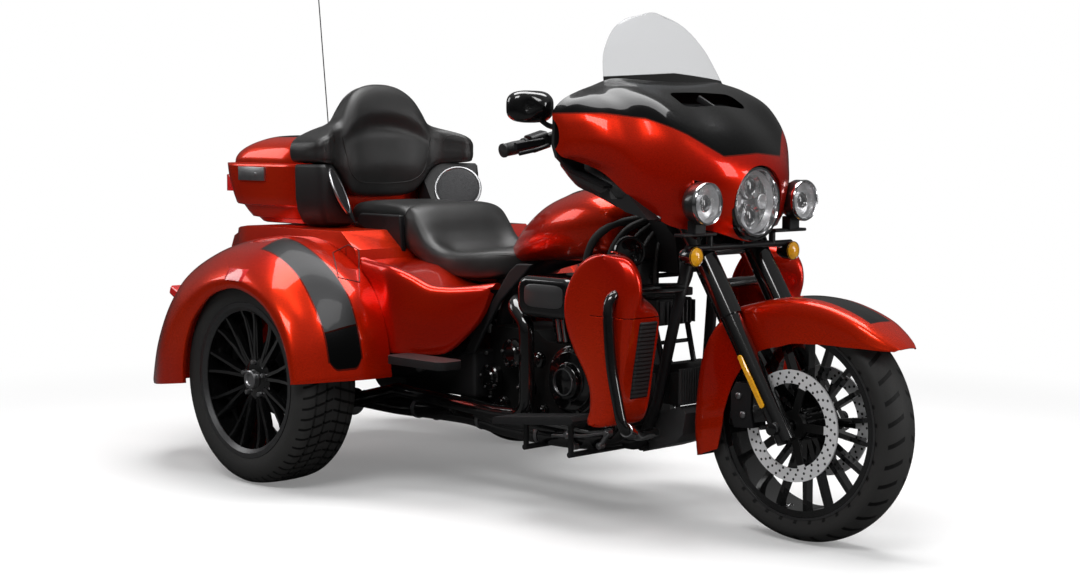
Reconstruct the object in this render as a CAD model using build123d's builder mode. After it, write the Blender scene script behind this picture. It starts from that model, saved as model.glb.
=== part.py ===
"""Touring trike: one steered front wheel, two driven rear wheels under wide fenders.

Frame: +X forward, +Y to the left, +Z up, millimetres. The origin is on the ground, at the
middle of the vehicle's length and width. "right" pieces lie at negative Y.
"""
from build123d import *
from math import atan2, cos, degrees, hypot, radians, sin, tan
import os

os.makedirs("parts", exist_ok=True)

# ------------------------------------------------------------------ driving dimensions
wheelbase = 1670
front_axle_x = 1010
rear_axle_x = front_axle_x - wheelbase
rear_track = 1113

fit_gap = 0.3            # between pieces that seat in or on each other
shell = 5                # painted body panels

front_bead_radius = 241.3
front_tyre_height = 78
front_tyre_width = 130
front_rim_width = 102
rear_bead_radius = 228.6
rear_tyre_height = 96.8
rear_tyre_width = 215
rear_rim_width = 198
flange_height = 14
flange_width = 6
rim_wall = 11

front_axle_z = front_bead_radius + front_tyre_height
rear_axle_z = rear_bead_radius + rear_tyre_height
rear_wheel_y = rear_track / 2

steering_rake = 26
steering_trail = 99
fork_rake = 32
fork_spread = 117
axle_radius = 12
spindle_radius = 24

disc_radius = 150
disc_band = 36
disc_width = 5
disc_y = 70.5

overall_half_width = 695
front_end_x = 1335
rear_end_x = -1335


def steering_x(z):
    """X of the steering axis at height z."""
    return front_axle_x + steering_trail - z * tan(radians(steering_rake))


def fork_x(z):
    """X of the fork legs' centre line at height z."""
    return front_axle_x - (z - front_axle_z) * tan(radians(fork_rake))


def polar(centre_x, centre_z, radius, angle):
    """Point in the XZ plane at an angle above the forward direction."""
    return (centre_x + radius * cos(radians(angle)), centre_z + radius * sin(radians(angle)))


def side_plane(y):
    """Plane facing left at y, with local x forward and local y up."""
    return Plane(origin=(0, y, 0), x_dir=(1, 0, 0), z_dir=(0, -1, 0))


def tube(points, radius, bend):
    """Round bar along a route of straight runs joined by arcs."""
    with BuildPart() as bar:
        with BuildLine() as route:
            if len(points) > 2:
                FilletPolyline(*points, radius=bend)
            else:
                Line(*points)
        with BuildSketch(Plane(origin=route.line @ 0, z_dir=route.line % 0)):
            Circle(radius)
        sweep(path=route.line)
    return bar.part


def mirrored(points):
    """The same route on the other side of the vehicle."""
    return [(x, -y, z) for x, y, z in points]


def finish(builder, label):
    """Names a piece and writes its file."""
    builder.part.label = label
    export_step(builder.part, f"parts/{label}.step")


# ------------------------------------------------------------------ wheels
def make_tyre(label, axle_x, axle_z, wheel_y, bead_radius, height, width, rim_width):
    """A ring with a flat crown, sloping shoulders and bulging walls that seats between the rim's flanges."""
    seat = rim_width / 2 - flange_width - fit_gap
    bulge = width / 2
    tyre_radius = bead_radius + height
    half_section = [
        # radius, distance from the wheel's middle plane
        (bead_radius + fit_gap, seat),
        (bead_radius + flange_height + 2, seat),
        (bead_radius + 0.52 * height, bulge),
        (tyre_radius - 0.17 * height, 0.43 * width),
        (tyre_radius, 0.24 * width),
    ]
    outline = half_section + [(r, -y) for r, y in reversed(half_section)]
    with BuildPart() as tyre:
        with BuildSketch(Plane(origin=(axle_x, wheel_y, axle_z), x_dir=(1, 0, 0), z_dir=(0, 0, 1))):
            with BuildLine():
                Polyline(*outline, close=True)
            make_face()
        revolve(axis=Axis((axle_x, wheel_y, axle_z), (0, 1, 0)))
    finish(tyre, label)


def spoke_plane(axle_x, axle_z, y, angle):
    """Plane across the wheel, with local x pointing out along a spoke."""
    return Plane(
        origin=(axle_x, y, axle_z),
        x_dir=(cos(radians(angle)), 0, sin(radians(angle))),
        z_dir=(0, 1, 0),
    )


def rim_barrel(axle_x, axle_z, wheel_y, bead_radius, rim_width):
    """The barrel with its two flanges."""
    half = rim_width / 2
    inner = bead_radius - rim_wall
    flange_radius = bead_radius + flange_height
    with BuildPart() as barrel:
        with BuildSketch(Plane(origin=(axle_x, wheel_y, axle_z), x_dir=(1, 0, 0), z_dir=(0, 0, 1))):
            with BuildLine():
                Polyline(
                    (inner, -half), (flange_radius, -half), (flange_radius, flange_width - half),
                    (bead_radius, flange_width - half), (bead_radius, half - flange_width),
                    (flange_radius, half - flange_width), (flange_radius, half), (inner, half),
                    close=True,
                )
            make_face()
        revolve(axis=Axis((axle_x, wheel_y, axle_z), (0, 1, 0)))
    return barrel.part


make_tyre("front_tyre", front_axle_x, front_axle_z, 0,
          front_bead_radius, front_tyre_height, front_tyre_width, front_rim_width)

# front rim: nine pairs of spokes between a slim hub and the barrel
front_hub_radius = 44
front_hub_half = 56
front_spoke_pairs = 9
front_spoke_split = 18           # degrees between the two spokes of a pair
with BuildPart() as front_rim:
    add(rim_barrel(front_axle_x, front_axle_z, 0, front_bead_radius, front_rim_width))
    with BuildSketch(Plane(origin=(front_axle_x, 0, front_axle_z), z_dir=(0, 1, 0))):
        Circle(front_hub_radius)
    extrude(amount=front_hub_half, both=True)
    for pair in range(front_spoke_pairs):
        for side in (-0.5, 0.5):
            angle = pair * 360 / front_spoke_pairs + side * front_spoke_split
            with BuildSketch(spoke_plane(front_axle_x, front_axle_z, 0, angle)):
                with BuildLine():
                    Polyline(
                        (front_hub_radius - 10, -8), (front_bead_radius - rim_wall + 3, -6),
                        (front_bead_radius - rim_wall + 3, 6), (front_hub_radius - 10, 8), close=True,
                    )
                make_face()
            extrude(amount=14, both=True)
    with BuildSketch(Plane(origin=(front_axle_x, 0, front_axle_z), z_dir=(0, 1, 0))):
        Circle(axle_radius + fit_gap)
    extrude(amount=front_hub_half, both=True, mode=Mode.SUBTRACT)
finish(front_rim, "front_rim")

# two floating brake discs on five-armed carriers bolted to the hub's ends
carrier_radius = front_hub_radius - 4
disc_arms = 5
with BuildPart() as brake_discs:
    for side in (-1, 1):
        disc_plane = Plane(origin=(front_axle_x, side * disc_y, front_axle_z), z_dir=(0, 1, 0))
        with BuildSketch(disc_plane):
            Circle(disc_radius)
            Circle(disc_radius - disc_band, mode=Mode.SUBTRACT)
            for arm in range(disc_arms):
                arm_angle = 90 + arm * 360 / disc_arms
                with Locations(Rot(0, 0, arm_angle) * Pos((carrier_radius + disc_radius - disc_band) / 2, 0)):
                    Rectangle(disc_radius - disc_band - carrier_radius + 12, 22)
            Circle(carrier_radius)
            Circle(axle_radius + 4, mode=Mode.SUBTRACT)
        extrude(amount=disc_width / 2, both=True)
        with BuildSketch(disc_plane):
            Circle(carrier_radius)
            Circle(axle_radius + 4, mode=Mode.SUBTRACT)
        extrude(amount=-side * (disc_y - front_hub_half))
finish(brake_discs, "brake_discs")

# rear wheels: fifteen spokes dished inwards from the outer lip to a five-bolt hub
rear_hub_radius = 62
rear_hub_inset = 40              # hub face behind the outer flange
rear_hub_depth = 70
rear_spokes = 15
spindle_depth = 50
for side_name, side in (("right", -1), ("left", 1)):
    wheel_y = side * rear_wheel_y
    make_tyre(f"rear_tyre_{side_name}", rear_axle_x, rear_axle_z, wheel_y,
              rear_bead_radius, rear_tyre_height, rear_tyre_width, rear_rim_width)
    lip_y = wheel_y + side * rear_rim_width / 2
    hub_face_y = lip_y - side * rear_hub_inset
    with BuildPart() as rear_rim:
        add(rim_barrel(rear_axle_x, rear_axle_z, wheel_y, rear_bead_radius, rear_rim_width))
        with BuildSketch(Plane(origin=(rear_axle_x, hub_face_y, rear_axle_z), z_dir=(0, -side, 0))):
            Circle(rear_hub_radius)
        extrude(amount=rear_hub_depth)
        for spoke in range(rear_spokes):
            angle = 90 + spoke * 360 / rear_spokes
            spoke_side = Plane(
                origin=(rear_axle_x, 0, rear_axle_z),
                x_dir=(cos(radians(angle)), 0, sin(radians(angle))),
                z_dir=(-sin(radians(angle)), 0, cos(radians(angle))),
            )
            hub_local = -hub_face_y if spoke_side.y_dir.Y < 0 else hub_face_y
            lip_local = -lip_y if spoke_side.y_dir.Y < 0 else lip_y
            inward = 1 if hub_local < lip_local else -1
            with BuildSketch(spoke_side):
                with BuildLine():
                    Polyline(
                        (rear_hub_radius - 12, hub_local - inward * 4),
                        (rear_bead_radius - rim_wall + 3, lip_local - inward * 10),
                        (rear_bead_radius - rim_wall + 3, lip_local - inward * 34),
                        (rear_hub_radius - 12, hub_local - inward * 36), close=True,
                    )
                make_face()
            extrude(amount=5, both=True)
        with BuildSketch(Plane(origin=(rear_axle_x, hub_face_y - side * rear_hub_depth, rear_axle_z),
                               z_dir=(0, side, 0))):
            Circle(spindle_radius + fit_gap)
        extrude(amount=spindle_depth, mode=Mode.SUBTRACT)
    finish(rear_rim, f"rear_rim_{side_name}")

# ------------------------------------------------------------------ chassis: axle, frame, engine
pivot_x = -175                   # swinging fork's pivot
pivot_z = 372
neck_low_z = 806
neck_high_z = 925
neck_radius = 34
stem_radius = 15
rail_y = 105                     # lower rails
rail_z = 205
neck_low = Vector(steering_x(neck_low_z), 0, neck_low_z)
neck_high = Vector(steering_x(neck_high_z), 0, neck_high_z)
steering_axis = (neck_high - neck_low).normalized()
with BuildPart() as frame:
    with BuildSketch(Plane(origin=neck_low, z_dir=steering_axis)):
        Circle(neck_radius)
    extrude(amount=(neck_high - neck_low).length)
    add(tube([(neck_low.X - 20, 0, 870), (420, 0, 800), (60, 0, 706), (-120, 0, 640), (-190, 0, 470),
          (-190, 0, pivot_z + 45)], 27, 70))
    for side in (-1, 1):
        add(tube([(625, side * 20, 846), (612, side * 70, 640), (560, side * rail_y, 330),
              (500, side * rail_y, rail_z), (-60, side * rail_y, rail_z), (-222, side * rail_y, 300),
              (-215, side * rail_y, 520), (-120, side * 40, 655)], 16, 55))
        add(tube([(-150, side * 64, 612), (-300, side * 130, 625), (-520, side * 150, 640)], 14, 50))
    for x, z in ((500, rail_z), (-60, rail_z)):
        add(tube([(x, -rail_y, z), (x, rail_y, z)], 15, 10))
    add(tube([(-215, -rail_y, 520), (-215, rail_y, 520)], 15, 10))
    with BuildSketch(Plane(origin=neck_low - steering_axis * 2, z_dir=steering_axis)):
        Circle(stem_radius + fit_gap)
    extrude(amount=(neck_high - neck_low).length + 4, mode=Mode.SUBTRACT)
finish(frame, "frame")

hub_back_y = rear_wheel_y + rear_rim_width / 2 - rear_hub_inset - rear_hub_depth
with BuildPart() as rear_axle:
    with BuildSketch(Plane(origin=(rear_axle_x, 0, rear_axle_z), z_dir=(0, 1, 0))):
        Circle(34)
    extrude(amount=hub_back_y - 12, both=True)
    with BuildSketch(Plane(origin=(rear_axle_x, 0, rear_axle_z), z_dir=(0, 1, 0))):
        Circle(spindle_radius)
    extrude(amount=hub_back_y + spindle_depth - 6, both=True)
    with BuildSketch(Plane(origin=(rear_axle_x, 0, rear_axle_z), z_dir=(0, 1, 0))):
        Circle(92)
    extrude(amount=75, both=True)
    for side in (-1, 1):
        # brake disc guard just inside each wheel, and one arm of the swinging fork
        with BuildSketch(Plane(origin=(rear_axle_x, side * (hub_back_y - 12), rear_axle_z),
                               z_dir=(0, -side, 0))):
            Circle(120)
        extrude(amount=14)
        add(tube([(rear_axle_x, side * 215, rear_axle_z), (-420, side * 190, 335),
              (pivot_x, side * 150, pivot_z)], 24, 60))
    with BuildSketch(Plane(origin=(pivot_x, 0, pivot_z), z_dir=(0, 1, 0))):
        Circle(30)
    extrude(amount=165, both=True)
    add(frame.part, mode=Mode.SUBTRACT)
finish(rear_axle, "rear_axle")

crank_x = 250
crank_z = 345
cylinder_lean = 22.5
with BuildPart() as engine_block:
    # crankcase, gearbox behind it and the oil pan below both
    with BuildSketch(side_plane(0)):
        with BuildLine():
            Polyline(
                (crank_x + 165, 245), (crank_x + 175, 400), (crank_x + 120, 470), (crank_x - 120, 470),
                (crank_x - 170, 500), (-120, 500), (-140, 300), (-60, 228), (crank_x + 100, 228), close=True,
            )
        make_face()
    extrude(amount=112, both=True)
    with BuildSketch(Plane(origin=(crank_x + 10, -150, crank_z), z_dir=(0, -1, 0))):
        Ellipse(125, 105)
    extrude(amount=-60)

fin_pitch = 13
fin_width = 8
fin_count = 11
barrel_start = 120
with BuildPart() as cylinders:
    for lean in (-cylinder_lean, cylinder_lean):
        direction = Vector(sin(radians(lean)), 0, cos(radians(lean)))
        base = Vector(crank_x, 0, crank_z)
        along = lambda d: Plane(origin=base + direction * d,
                                x_dir=(cos(radians(lean)), 0, -sin(radians(lean))),
                                z_dir=direction)
        with BuildSketch(along(barrel_start)):
            RectangleRounded(118, 124, 40)
        extrude(amount=fin_pitch * fin_count + 20)
        for fin in range(fin_count):
            with BuildSketch(along(barrel_start + 8 + fin * fin_pitch)):
                RectangleRounded(146 - (8 if fin > 6 else 0), 170, 34)
            extrude(amount=fin_width)
        with BuildSketch(along(barrel_start + fin_pitch * fin_count + 10)):
            RectangleRounded(128, 190, 26)
        extrude(amount=58)
finish(cylinders, "cylinders")

with BuildPart() as engine_case:
    add(engine_block.part)
    add(cylinders.part, mode=Mode.SUBTRACT)
    add(frame.part, mode=Mode.SUBTRACT)
    add(rear_axle.part, mode=Mode.SUBTRACT)
finish(engine_case, "engine_case")

# round timing cover on the right, long primary drive cover on the left
cam_x = 289
cam_z = 375
with BuildPart() as engine_covers:
    for y, radius, depth in ((-150, 104, 18), (-168, 88, 16), (-184, 52, 22)):
        with BuildSketch(Plane(origin=(cam_x, y, cam_z), z_dir=(0, -1, 0))):
            Circle(radius)
        extrude(amount=depth)
    with BuildSketch(side_plane(112)):
        with Locations((125, 332)):
            SlotOverall(400, 150)
    extrude(amount=-14)
    with BuildSketch(side_plane(124)):
        with Locations((125, 330)):
            SlotOverall(500, 220)
    extrude(amount=-86)
    add(frame.part, mode=Mode.SUBTRACT)
finish(engine_covers, "engine_covers")

with BuildPart() as air_cleaner:
    with BuildSketch(side_plane(-115)):
        with Locations((300, 625)):
            RectangleRounded(230, 118, 40)
    extrude(amount=185)
    fillet(air_cleaner.faces().sort_by(Axis.Y)[0].edges(), radius=18)
    with BuildSketch(side_plane(-60)):
        with Locations((250, 560)):
            RectangleRounded(60, 60, 12)
    extrude(amount=60)
    add(cylinders.part, mode=Mode.SUBTRACT)
finish(air_cleaner, "air_cleaner")

# headers of both cylinders run back on the right and split to a silencer on each side
header_radius = 23
exhaust_y = -262
exhaust_z = 268
muffler_y = 300
muffler_z = 235
muffler_radius = 44
muffler_front_x = -560
muffler_rear_x = -1180
with BuildPart() as exhaust:
    add(tube([(120, -80, 600), (112, -250, 600), (192, exhaust_y, 540), (195, exhaust_y, exhaust_z + 4),
              (60, exhaust_y, exhaust_z), (-380, exhaust_y - 6, exhaust_z + 20),
              (muffler_front_x - 20, -muffler_y, muffler_z)],
             header_radius, 50))
    add(tube([(400, -76, 590), (515, -120, 560), (528, -204, 470), (520, -205, 250), (420, -222, 232),
              (60, exhaust_y + 10, exhaust_z - 20),
          (-20, exhaust_y + 4, exhaust_z - 6)], header_radius, 40))
    add(tube([(-110, exhaust_y + 8, exhaust_z - 10), (-300, -190, 214), (-350, 60, 212), (-450, 240, 225),
              (muffler_front_x - 20, muffler_y, muffler_z)], header_radius, 60))
    add(cylinders.part, mode=Mode.SUBTRACT)
    add(rear_axle.part, mode=Mode.SUBTRACT)
    add(frame.part, mode=Mode.SUBTRACT)
finish(exhaust, "exhaust")

with BuildPart() as mufflers:
    for side in (-1, 1):
        with BuildSketch(Plane(origin=(muffler_front_x, side * muffler_y, muffler_z), z_dir=(-1, 0, 0))):
            Circle(muffler_radius)
        extrude(amount=muffler_front_x - muffler_rear_x)
    add(exhaust.part, mode=Mode.SUBTRACT)
    add(rear_axle.part, mode=Mode.SUBTRACT)
finish(mufflers, "mufflers")

with BuildPart() as oil_cooler:
    with BuildSketch(side_plane(0)):
        with Locations((575, 375)):
            Rectangle(96, 90)
    extrude(amount=76, both=True)
    with BuildSketch(Plane(origin=(623, 0, 375), x_dir=(0, 1, 0), z_dir=(1, 0, 0))):
        with GridLocations(12, 0, 12, 1):
            Rectangle(4, 84)
    extrude(amount=8)
    with BuildSketch(side_plane(0)):
        with Locations((562, 430)):
            Rectangle(40, 24)
    extrude(amount=100, both=True)
    add(frame.part, mode=Mode.SUBTRACT)
finish(oil_cooler, "oil_cooler")

with BuildPart() as chin_cover:
    with BuildSketch(side_plane(0)):
        with BuildLine():
            Polyline((509, 286), (628, 330), (652, 312), (640, 250), (615, 224), (492, 184), (486, 205),
                     (509, 225), close=True)
        make_face()
    extrude(amount=86, both=True)
    add(frame.part, mode=Mode.SUBTRACT)
finish(chin_cover, "chin_cover")

# ------------------------------------------------------------------ guard, lower fairings, boards
guard_route = [(613, -66, 660), (648, -330, 672), (640, -402, 610), (714, -402, 300), (640, -262, 222),
               (512, -rail_y, 212)]
with BuildPart() as engine_guard:
    for route in (guard_route, mirrored(guard_route)):
        add(tube(route, 16, 40))
    add(frame.part, mode=Mode.SUBTRACT)
finish(engine_guard, "engine_guard")

lower_inner_y = 240
lower_outer_y = 374
lower_outline = [(527, 750), (593, 765), (663, 761), (711, 725), (728, 683), (690, 560), (668, 430),
                 (650, 336),
                 (614, 312), (526, 299), (553, 351), (542, 410), (491, 482), (450, 584), (461, 658)]
lower_slant = [(728, 376), (600, lower_inner_y), (600, 180), (820, 180), (820, 376)]
lower_slant_z = 625
with BuildPart() as lower_fairings:
    for inset, reach, mode in ((0, 0, Mode.ADD), (shell, shell, Mode.SUBTRACT)):
        for side in (-1, 1):
            with BuildPart(mode=Mode.PRIVATE) as pod:
                with BuildSketch(side_plane(side * lower_inner_y)):
                    with BuildLine():
                        Polyline(*lower_outline, close=True)
                    make_face()
                    if inset:
                        offset(amount=-inset, mode=Mode.REPLACE)
                extrude(amount=-side * (lower_outer_y - lower_inner_y - reach))
                with BuildSketch(Plane.XY.offset(lower_slant_z - inset)):
                    with BuildLine():
                        Polyline(*[(x - 1.4 * inset, side * y) for x, y in lower_slant], close=True)
                    make_face()
                extrude(amount=200, mode=Mode.SUBTRACT)
            add(pod.part, mode=mode)
    add(engine_guard.part, mode=Mode.SUBTRACT)
finish(lower_fairings, "lower_fairings")

with BuildPart() as rider_footboards:
    for side in (-1, 1):
        with BuildSketch(side_plane(side * 292)):
            with BuildLine():
                Polyline((186, 262), (190, 282), (500, 318), (512, 306), (500, 294), close=True)
            make_face()
        extrude(amount=-side * 100)
        for x, z in ((260, 271), (440, 292)):
            with BuildSketch(Plane(origin=(x, side * rail_y, rail_z - 8), z_dir=(0, side, 0))):
                Circle(8)
            extrude(amount=230)
            with BuildSketch(Plane(origin=(x, side * 327, rail_z - 8), z_dir=(0, 0, 1))):
                Circle(8)
            extrude(amount=z - rail_z + 12)
    add(frame.part, mode=Mode.SUBTRACT)
    add(engine_block.part, mode=Mode.SUBTRACT)
    add(engine_covers.part, mode=Mode.SUBTRACT)
    add(exhaust.part, mode=Mode.SUBTRACT)
finish(rider_footboards, "rider_footboards")

with BuildPart() as passenger_footboards:
    for side in (-1, 1):
        with BuildSketch(Plane(origin=(-65, side * 432, 408), z_dir=(0, 0, 1))):
            RectangleRounded(255, 96, 30)
        extrude(amount=24)
        add(tube([(-216, side * rail_y, 440), (-160, side * 240, 410), (-90, side * 430, 400)], 12, 20))
    add(frame.part, mode=Mode.SUBTRACT)
finish(passenger_footboards, "passenger_footboards")

# ------------------------------------------------------------------ tank and seats
deck_z = 784                     # rear body's deck, under the seat and the case
tank_sections = [
    # x, half width, bottom, widest height, top
    (-100, 60, 690, 705, 738),
    (40, 118, 708, 765, 862),
    (180, 160, 718, 800, 915),
    (320, 168, 728, 830, 938),
    (400, 165, 740, 835, 918),
    (436, 142, 765, 830, 875),
]
with BuildPart() as fuel_tank:
    for x, half_width, low, wide, high in tank_sections:
        with BuildSketch(Plane(origin=(x, 0, 0), x_dir=(0, 1, 0), z_dir=(1, 0, 0))):
            with BuildLine():
                Polyline((-0.72 * half_width, low), (-half_width, wide),
                         (-0.62 * half_width, high - 0.12 * (high - wide)),
                         (-0.2 * half_width, high), (0.2 * half_width, high),
                         (0.62 * half_width, high - 0.12 * (high - wide)), (half_width, wide),
                         (0.72 * half_width, low), close=True)
            make_face()
    loft(ruled=True)
    with BuildSketch(side_plane(0)):
        with BuildLine():
            Polyline((-130, 500), (-130, 668), (60, 736), (450, 838), (450, 500), close=True)
        make_face()
    extrude(amount=27 + fit_gap + 3, both=True, mode=Mode.SUBTRACT)
    with BuildSketch(Plane(origin=(400, 0, 600), z_dir=(0, 0, 1))):
        Rectangle(90, 100)
    extrude(amount=400, mode=Mode.SUBTRACT)
    add(cylinders.part, mode=Mode.SUBTRACT)
finish(fuel_tank, "fuel_tank")

with BuildPart() as neck_cover:
    with BuildSketch(side_plane(0)):
        with BuildLine():
            Polyline((438, 700), (438, 850), (515, 856), (580, 800), (592, 700), close=True)
        make_face()
    extrude(amount=56, both=True)
    add(frame.part, mode=Mode.SUBTRACT)
    add(fuel_tank.part, mode=Mode.SUBTRACT)
finish(neck_cover, "neck_cover")

rider_outline = [(-458, 770), (-448, 850), (-415, 870), (-375, 850), (-320, 785), (-230, 738), (-120, 733),
                 (-50, 735),
                 (-20, 710), (-50, 672), (-110, 645), (-260, 642), (-380, 690), (-440, 730)]
rider_plan = [(-465, 150), (-440, 195), (-300, 200), (-150, 175), (-60, 120), (-10, 60)]
with BuildPart() as rider_seat:
    with BuildSketch(side_plane(0)):
        with BuildLine():
            Polyline(*rider_outline, close=True)
        make_face()
    extrude(amount=200, both=True)
    with BuildSketch(Plane.XY):
        with BuildLine():
            Polyline(*rider_plan, *[(x, -y) for x, y in reversed(rider_plan)], close=True)
        make_face()
    extrude(amount=1000, mode=Mode.INTERSECT)
    for side in (-1, 1):
        # the rear rim falls away to both sides
        with BuildSketch(Plane(origin=(-600, 0, 0), x_dir=(0, 1, 0), z_dir=(1, 0, 0))):
            with BuildLine():
                Polyline((side * 90, 872), (side * 200, 822), (side * 210, 900), (side * 90, 900), close=True)
            make_face()
        extrude(amount=400, mode=Mode.SUBTRACT)
    add(fuel_tank.part, mode=Mode.SUBTRACT)
    add(frame.part, mode=Mode.SUBTRACT)
finish(rider_seat, "rider_seat")

with BuildPart() as passenger_seat:
    with BuildSketch(side_plane(0)):
        with BuildLine():
            Polyline((-450, deck_z + fit_gap), (-455, 846), (-480, 866), (-725, 872), (-768, 850),
                     (-768, deck_z + fit_gap),
                     close=True)
        make_face()
    extrude(amount=160, both=True)
    add(rider_seat.part, mode=Mode.SUBTRACT)
finish(passenger_seat, "passenger_seat")

# ------------------------------------------------------------------ rear body, trunk and fenders
hinge_radius = 6
hinge_pin_radius = 3
hinge_bore = 3.3


def hinge(axis_point, along, leaf, ends, bore):
    """Hinge barrel and leaves between pairs of distances along the axis; a bore of 0 holds the pin."""
    with BuildPart() as barrel:
        for start, stop in ends:
            with BuildSketch(Plane(origin=axis_point + along * start, z_dir=along)):
                Circle(hinge_radius)
            extrude(amount=stop - start)
            with BuildSketch(Plane(origin=axis_point + along * start, x_dir=leaf.normalized(), z_dir=along)):
                with Locations((leaf.length / 2, 0)):
                    Rectangle(leaf.length, 2)
            extrude(amount=stop - start)
        with BuildSketch(Plane(origin=axis_point + along * ends[0][0], z_dir=along)):
            Circle(bore if bore else hinge_pin_radius)
        extrude(amount=ends[-1][1] - ends[0][0], mode=Mode.SUBTRACT if bore else Mode.ADD)
    return barrel.part


body_half = 398
body_rear_x = -1250
body_outline = [(body_rear_x, 345), (body_rear_x - 11, 700), (-1225, 738), (-1080, 776), (-1000, deck_z),
                (-500, deck_z),
                (-430, 730), (-392, 640), (-420, 505), (-780, 505), (-800, 345)]
body_plan = [(-380, body_half), (-1000, body_half), (-1100, 365), (-1180, 312), (-1275, 278)]
door_half = 250
door_low = 400
door_high = 690


def body_solid(inset, top):
    """Rear body's closed outline in plan, shrunk by inset, up to the given height."""
    with BuildPart() as body:
        with BuildSketch(Plane.XY.offset(300)):
            with BuildLine():
                Polyline(*body_plan, *[(x, -y) for x, y in reversed(body_plan)], close=True)
            make_face()
            if inset:
                offset(amount=-inset, mode=Mode.REPLACE)
        extrude(amount=top - 300)
    return body.part


trunk_block = body_solid(shell, 900)
with BuildPart() as trunk_hollow:
    with BuildSketch(side_plane(0)):
        with BuildLine():
            Polyline(*body_outline, close=True)
        make_face()
        offset(amount=-shell, mode=Mode.REPLACE)
        split(bisect_by=Plane(origin=(-800, 0, 0), z_dir=(1, 0, 0)), keep=Keep.BOTTOM)
    extrude(amount=body_half, both=True)
    with BuildSketch(side_plane(0)):
        with BuildLine():
            Polyline((-790, 400), (-790, deck_z - shell), (-503, deck_z - shell), (-436, 728), (-399, 640),
                     (-428, 400),
                     close=True)
        make_face()
    extrude(amount=body_half, both=True)
    add(trunk_block, mode=Mode.INTERSECT)

door_axis = Vector(body_rear_x - 1.8 - 7, 0, door_low - 1)
with BuildPart() as rear_body:
    with BuildSketch(side_plane(0)):
        with BuildLine():
            Polyline(*body_outline, close=True)
        make_face()
    extrude(amount=body_half, both=True)
    add(body_solid(0, 900), mode=Mode.INTERSECT)
    add(trunk_hollow.part, mode=Mode.SUBTRACT)
    with BuildSketch(Plane(origin=(-1200, 0, 0), x_dir=(0, 1, 0), z_dir=(1, 0, 0))):
        with Locations((0, (door_low + door_high) / 2)):
            Rectangle(2 * door_half, door_high - door_low)
    extrude(amount=-100, mode=Mode.SUBTRACT)
    add(rider_seat.part, mode=Mode.SUBTRACT)
    add(frame.part, mode=Mode.SUBTRACT)
    add(hinge(door_axis, Vector(0, 1, 0), Vector(10, 0, -8), [(-100, -60.6), (60.6, 100)], 0))
finish(rear_body, "rear_body")

door_gap = 4
with BuildPart() as trunk_door:
    with BuildSketch(side_plane(0)):
        with BuildLine():
            Polyline((body_rear_x - 1.8, door_low + door_gap), (body_rear_x - 10.6, door_high - door_gap),
                     (body_rear_x - 10.6 + shell, door_high - door_gap),
                     (body_rear_x - 1.8 + shell, door_low + door_gap), close=True)
        make_face()
    extrude(amount=door_half - door_gap, both=True)
    with BuildSketch(Plane(origin=(body_rear_x - 5, 0, 0), x_dir=(0, 1, 0), z_dir=(1, 0, 0))):
        with Locations((0, door_high - 34)):
            RectangleRounded(90, 24, 8)
    extrude(amount=-16)
    add(hinge(door_axis, Vector(0, 1, 0), Vector(10, 0, 8), [(-60, 60)], hinge_bore))
finish(trunk_door, "trunk_door")

fender_inner_y = body_half + fit_gap
# crown of each fender: distance from the rear axle by angle above forward, at four stations
fender_angles = [8, 25, 42, 60, 80, 97, 118, 140, 151, 162, 174, 184.5]
fender_stations = [
    # y, crown radius at each angle
    (fender_inner_y, [408, 418, 430, 428, 433, 438, 464, 534, 569, 600, 633, 676]),
    (505, [408, 418, 432, 430, 435, 440, 464, 534, 569, 600, 633, 676]),
    (600, [356, 362, 368, 385, 398, 405, 432, 482, 512, 540, 572, 600]),
    (660, [330, 335, 345, 352, 358, 362, 380, 418, 440, 460, 482, 500]),
    (overall_half_width, [312, 316, 322, 322, 318, 318, 330, 355, 372, 390, 408, 420]),
]
arch_radius = 285


def fender_solid(side, inset, drop, reach):
    """Lofted body of one rear fender: inset shrinks its crown, drop lowers it, reach trims its side."""
    with BuildPart() as body:
        for y, crown in fender_stations:
            wall = side * min(y, overall_half_width - reach)
            with BuildSketch(side_plane(wall)):
                with BuildLine():
                    Polyline(*[polar(rear_axle_x, rear_axle_z, r - inset, a)
                               for a, r in zip(fender_angles, crown)],
                             polar(rear_axle_x, rear_axle_z - drop, crown[-1] - inset, 187),
                             polar(rear_axle_x, rear_axle_z - drop, crown[0] - inset, 4), close=True)
                make_face()
        loft(ruled=True)
    return body.part


fender_wells = fender_solid(-1, shell, 60, shell) + fender_solid(1, shell, 60, shell)
with BuildPart() as rear_fenders:
    for side in (-1, 1):
        add(fender_solid(side, 0, 0, 0))
    add(fender_wells, mode=Mode.SUBTRACT)
    for side in (-1, 1):
        # inner wall against the trunk, open around the axle
        with BuildSketch(side_plane(side * fender_inner_y)):
            with BuildLine():
                Polyline(*[polar(rear_axle_x, rear_axle_z, r - 2, a)
                           for a, r in zip(fender_angles, fender_stations[0][1])],
                         polar(rear_axle_x, rear_axle_z, 380, 165), polar(rear_axle_x, rear_axle_z, 345, 140),
                         polar(rear_axle_x, rear_axle_z, 340, 90), polar(rear_axle_x, rear_axle_z, 345, 40),
                         polar(rear_axle_x, rear_axle_z, 360, 12), close=True)
            make_face()
        extrude(amount=-side * shell)
        with BuildSketch(Plane(origin=(rear_axle_x, side * 640, rear_axle_z), z_dir=(0, side, 0))):
            Circle(arch_radius)
        extrude(amount=80, mode=Mode.SUBTRACT)
finish(rear_fenders, "rear_fenders")

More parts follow.
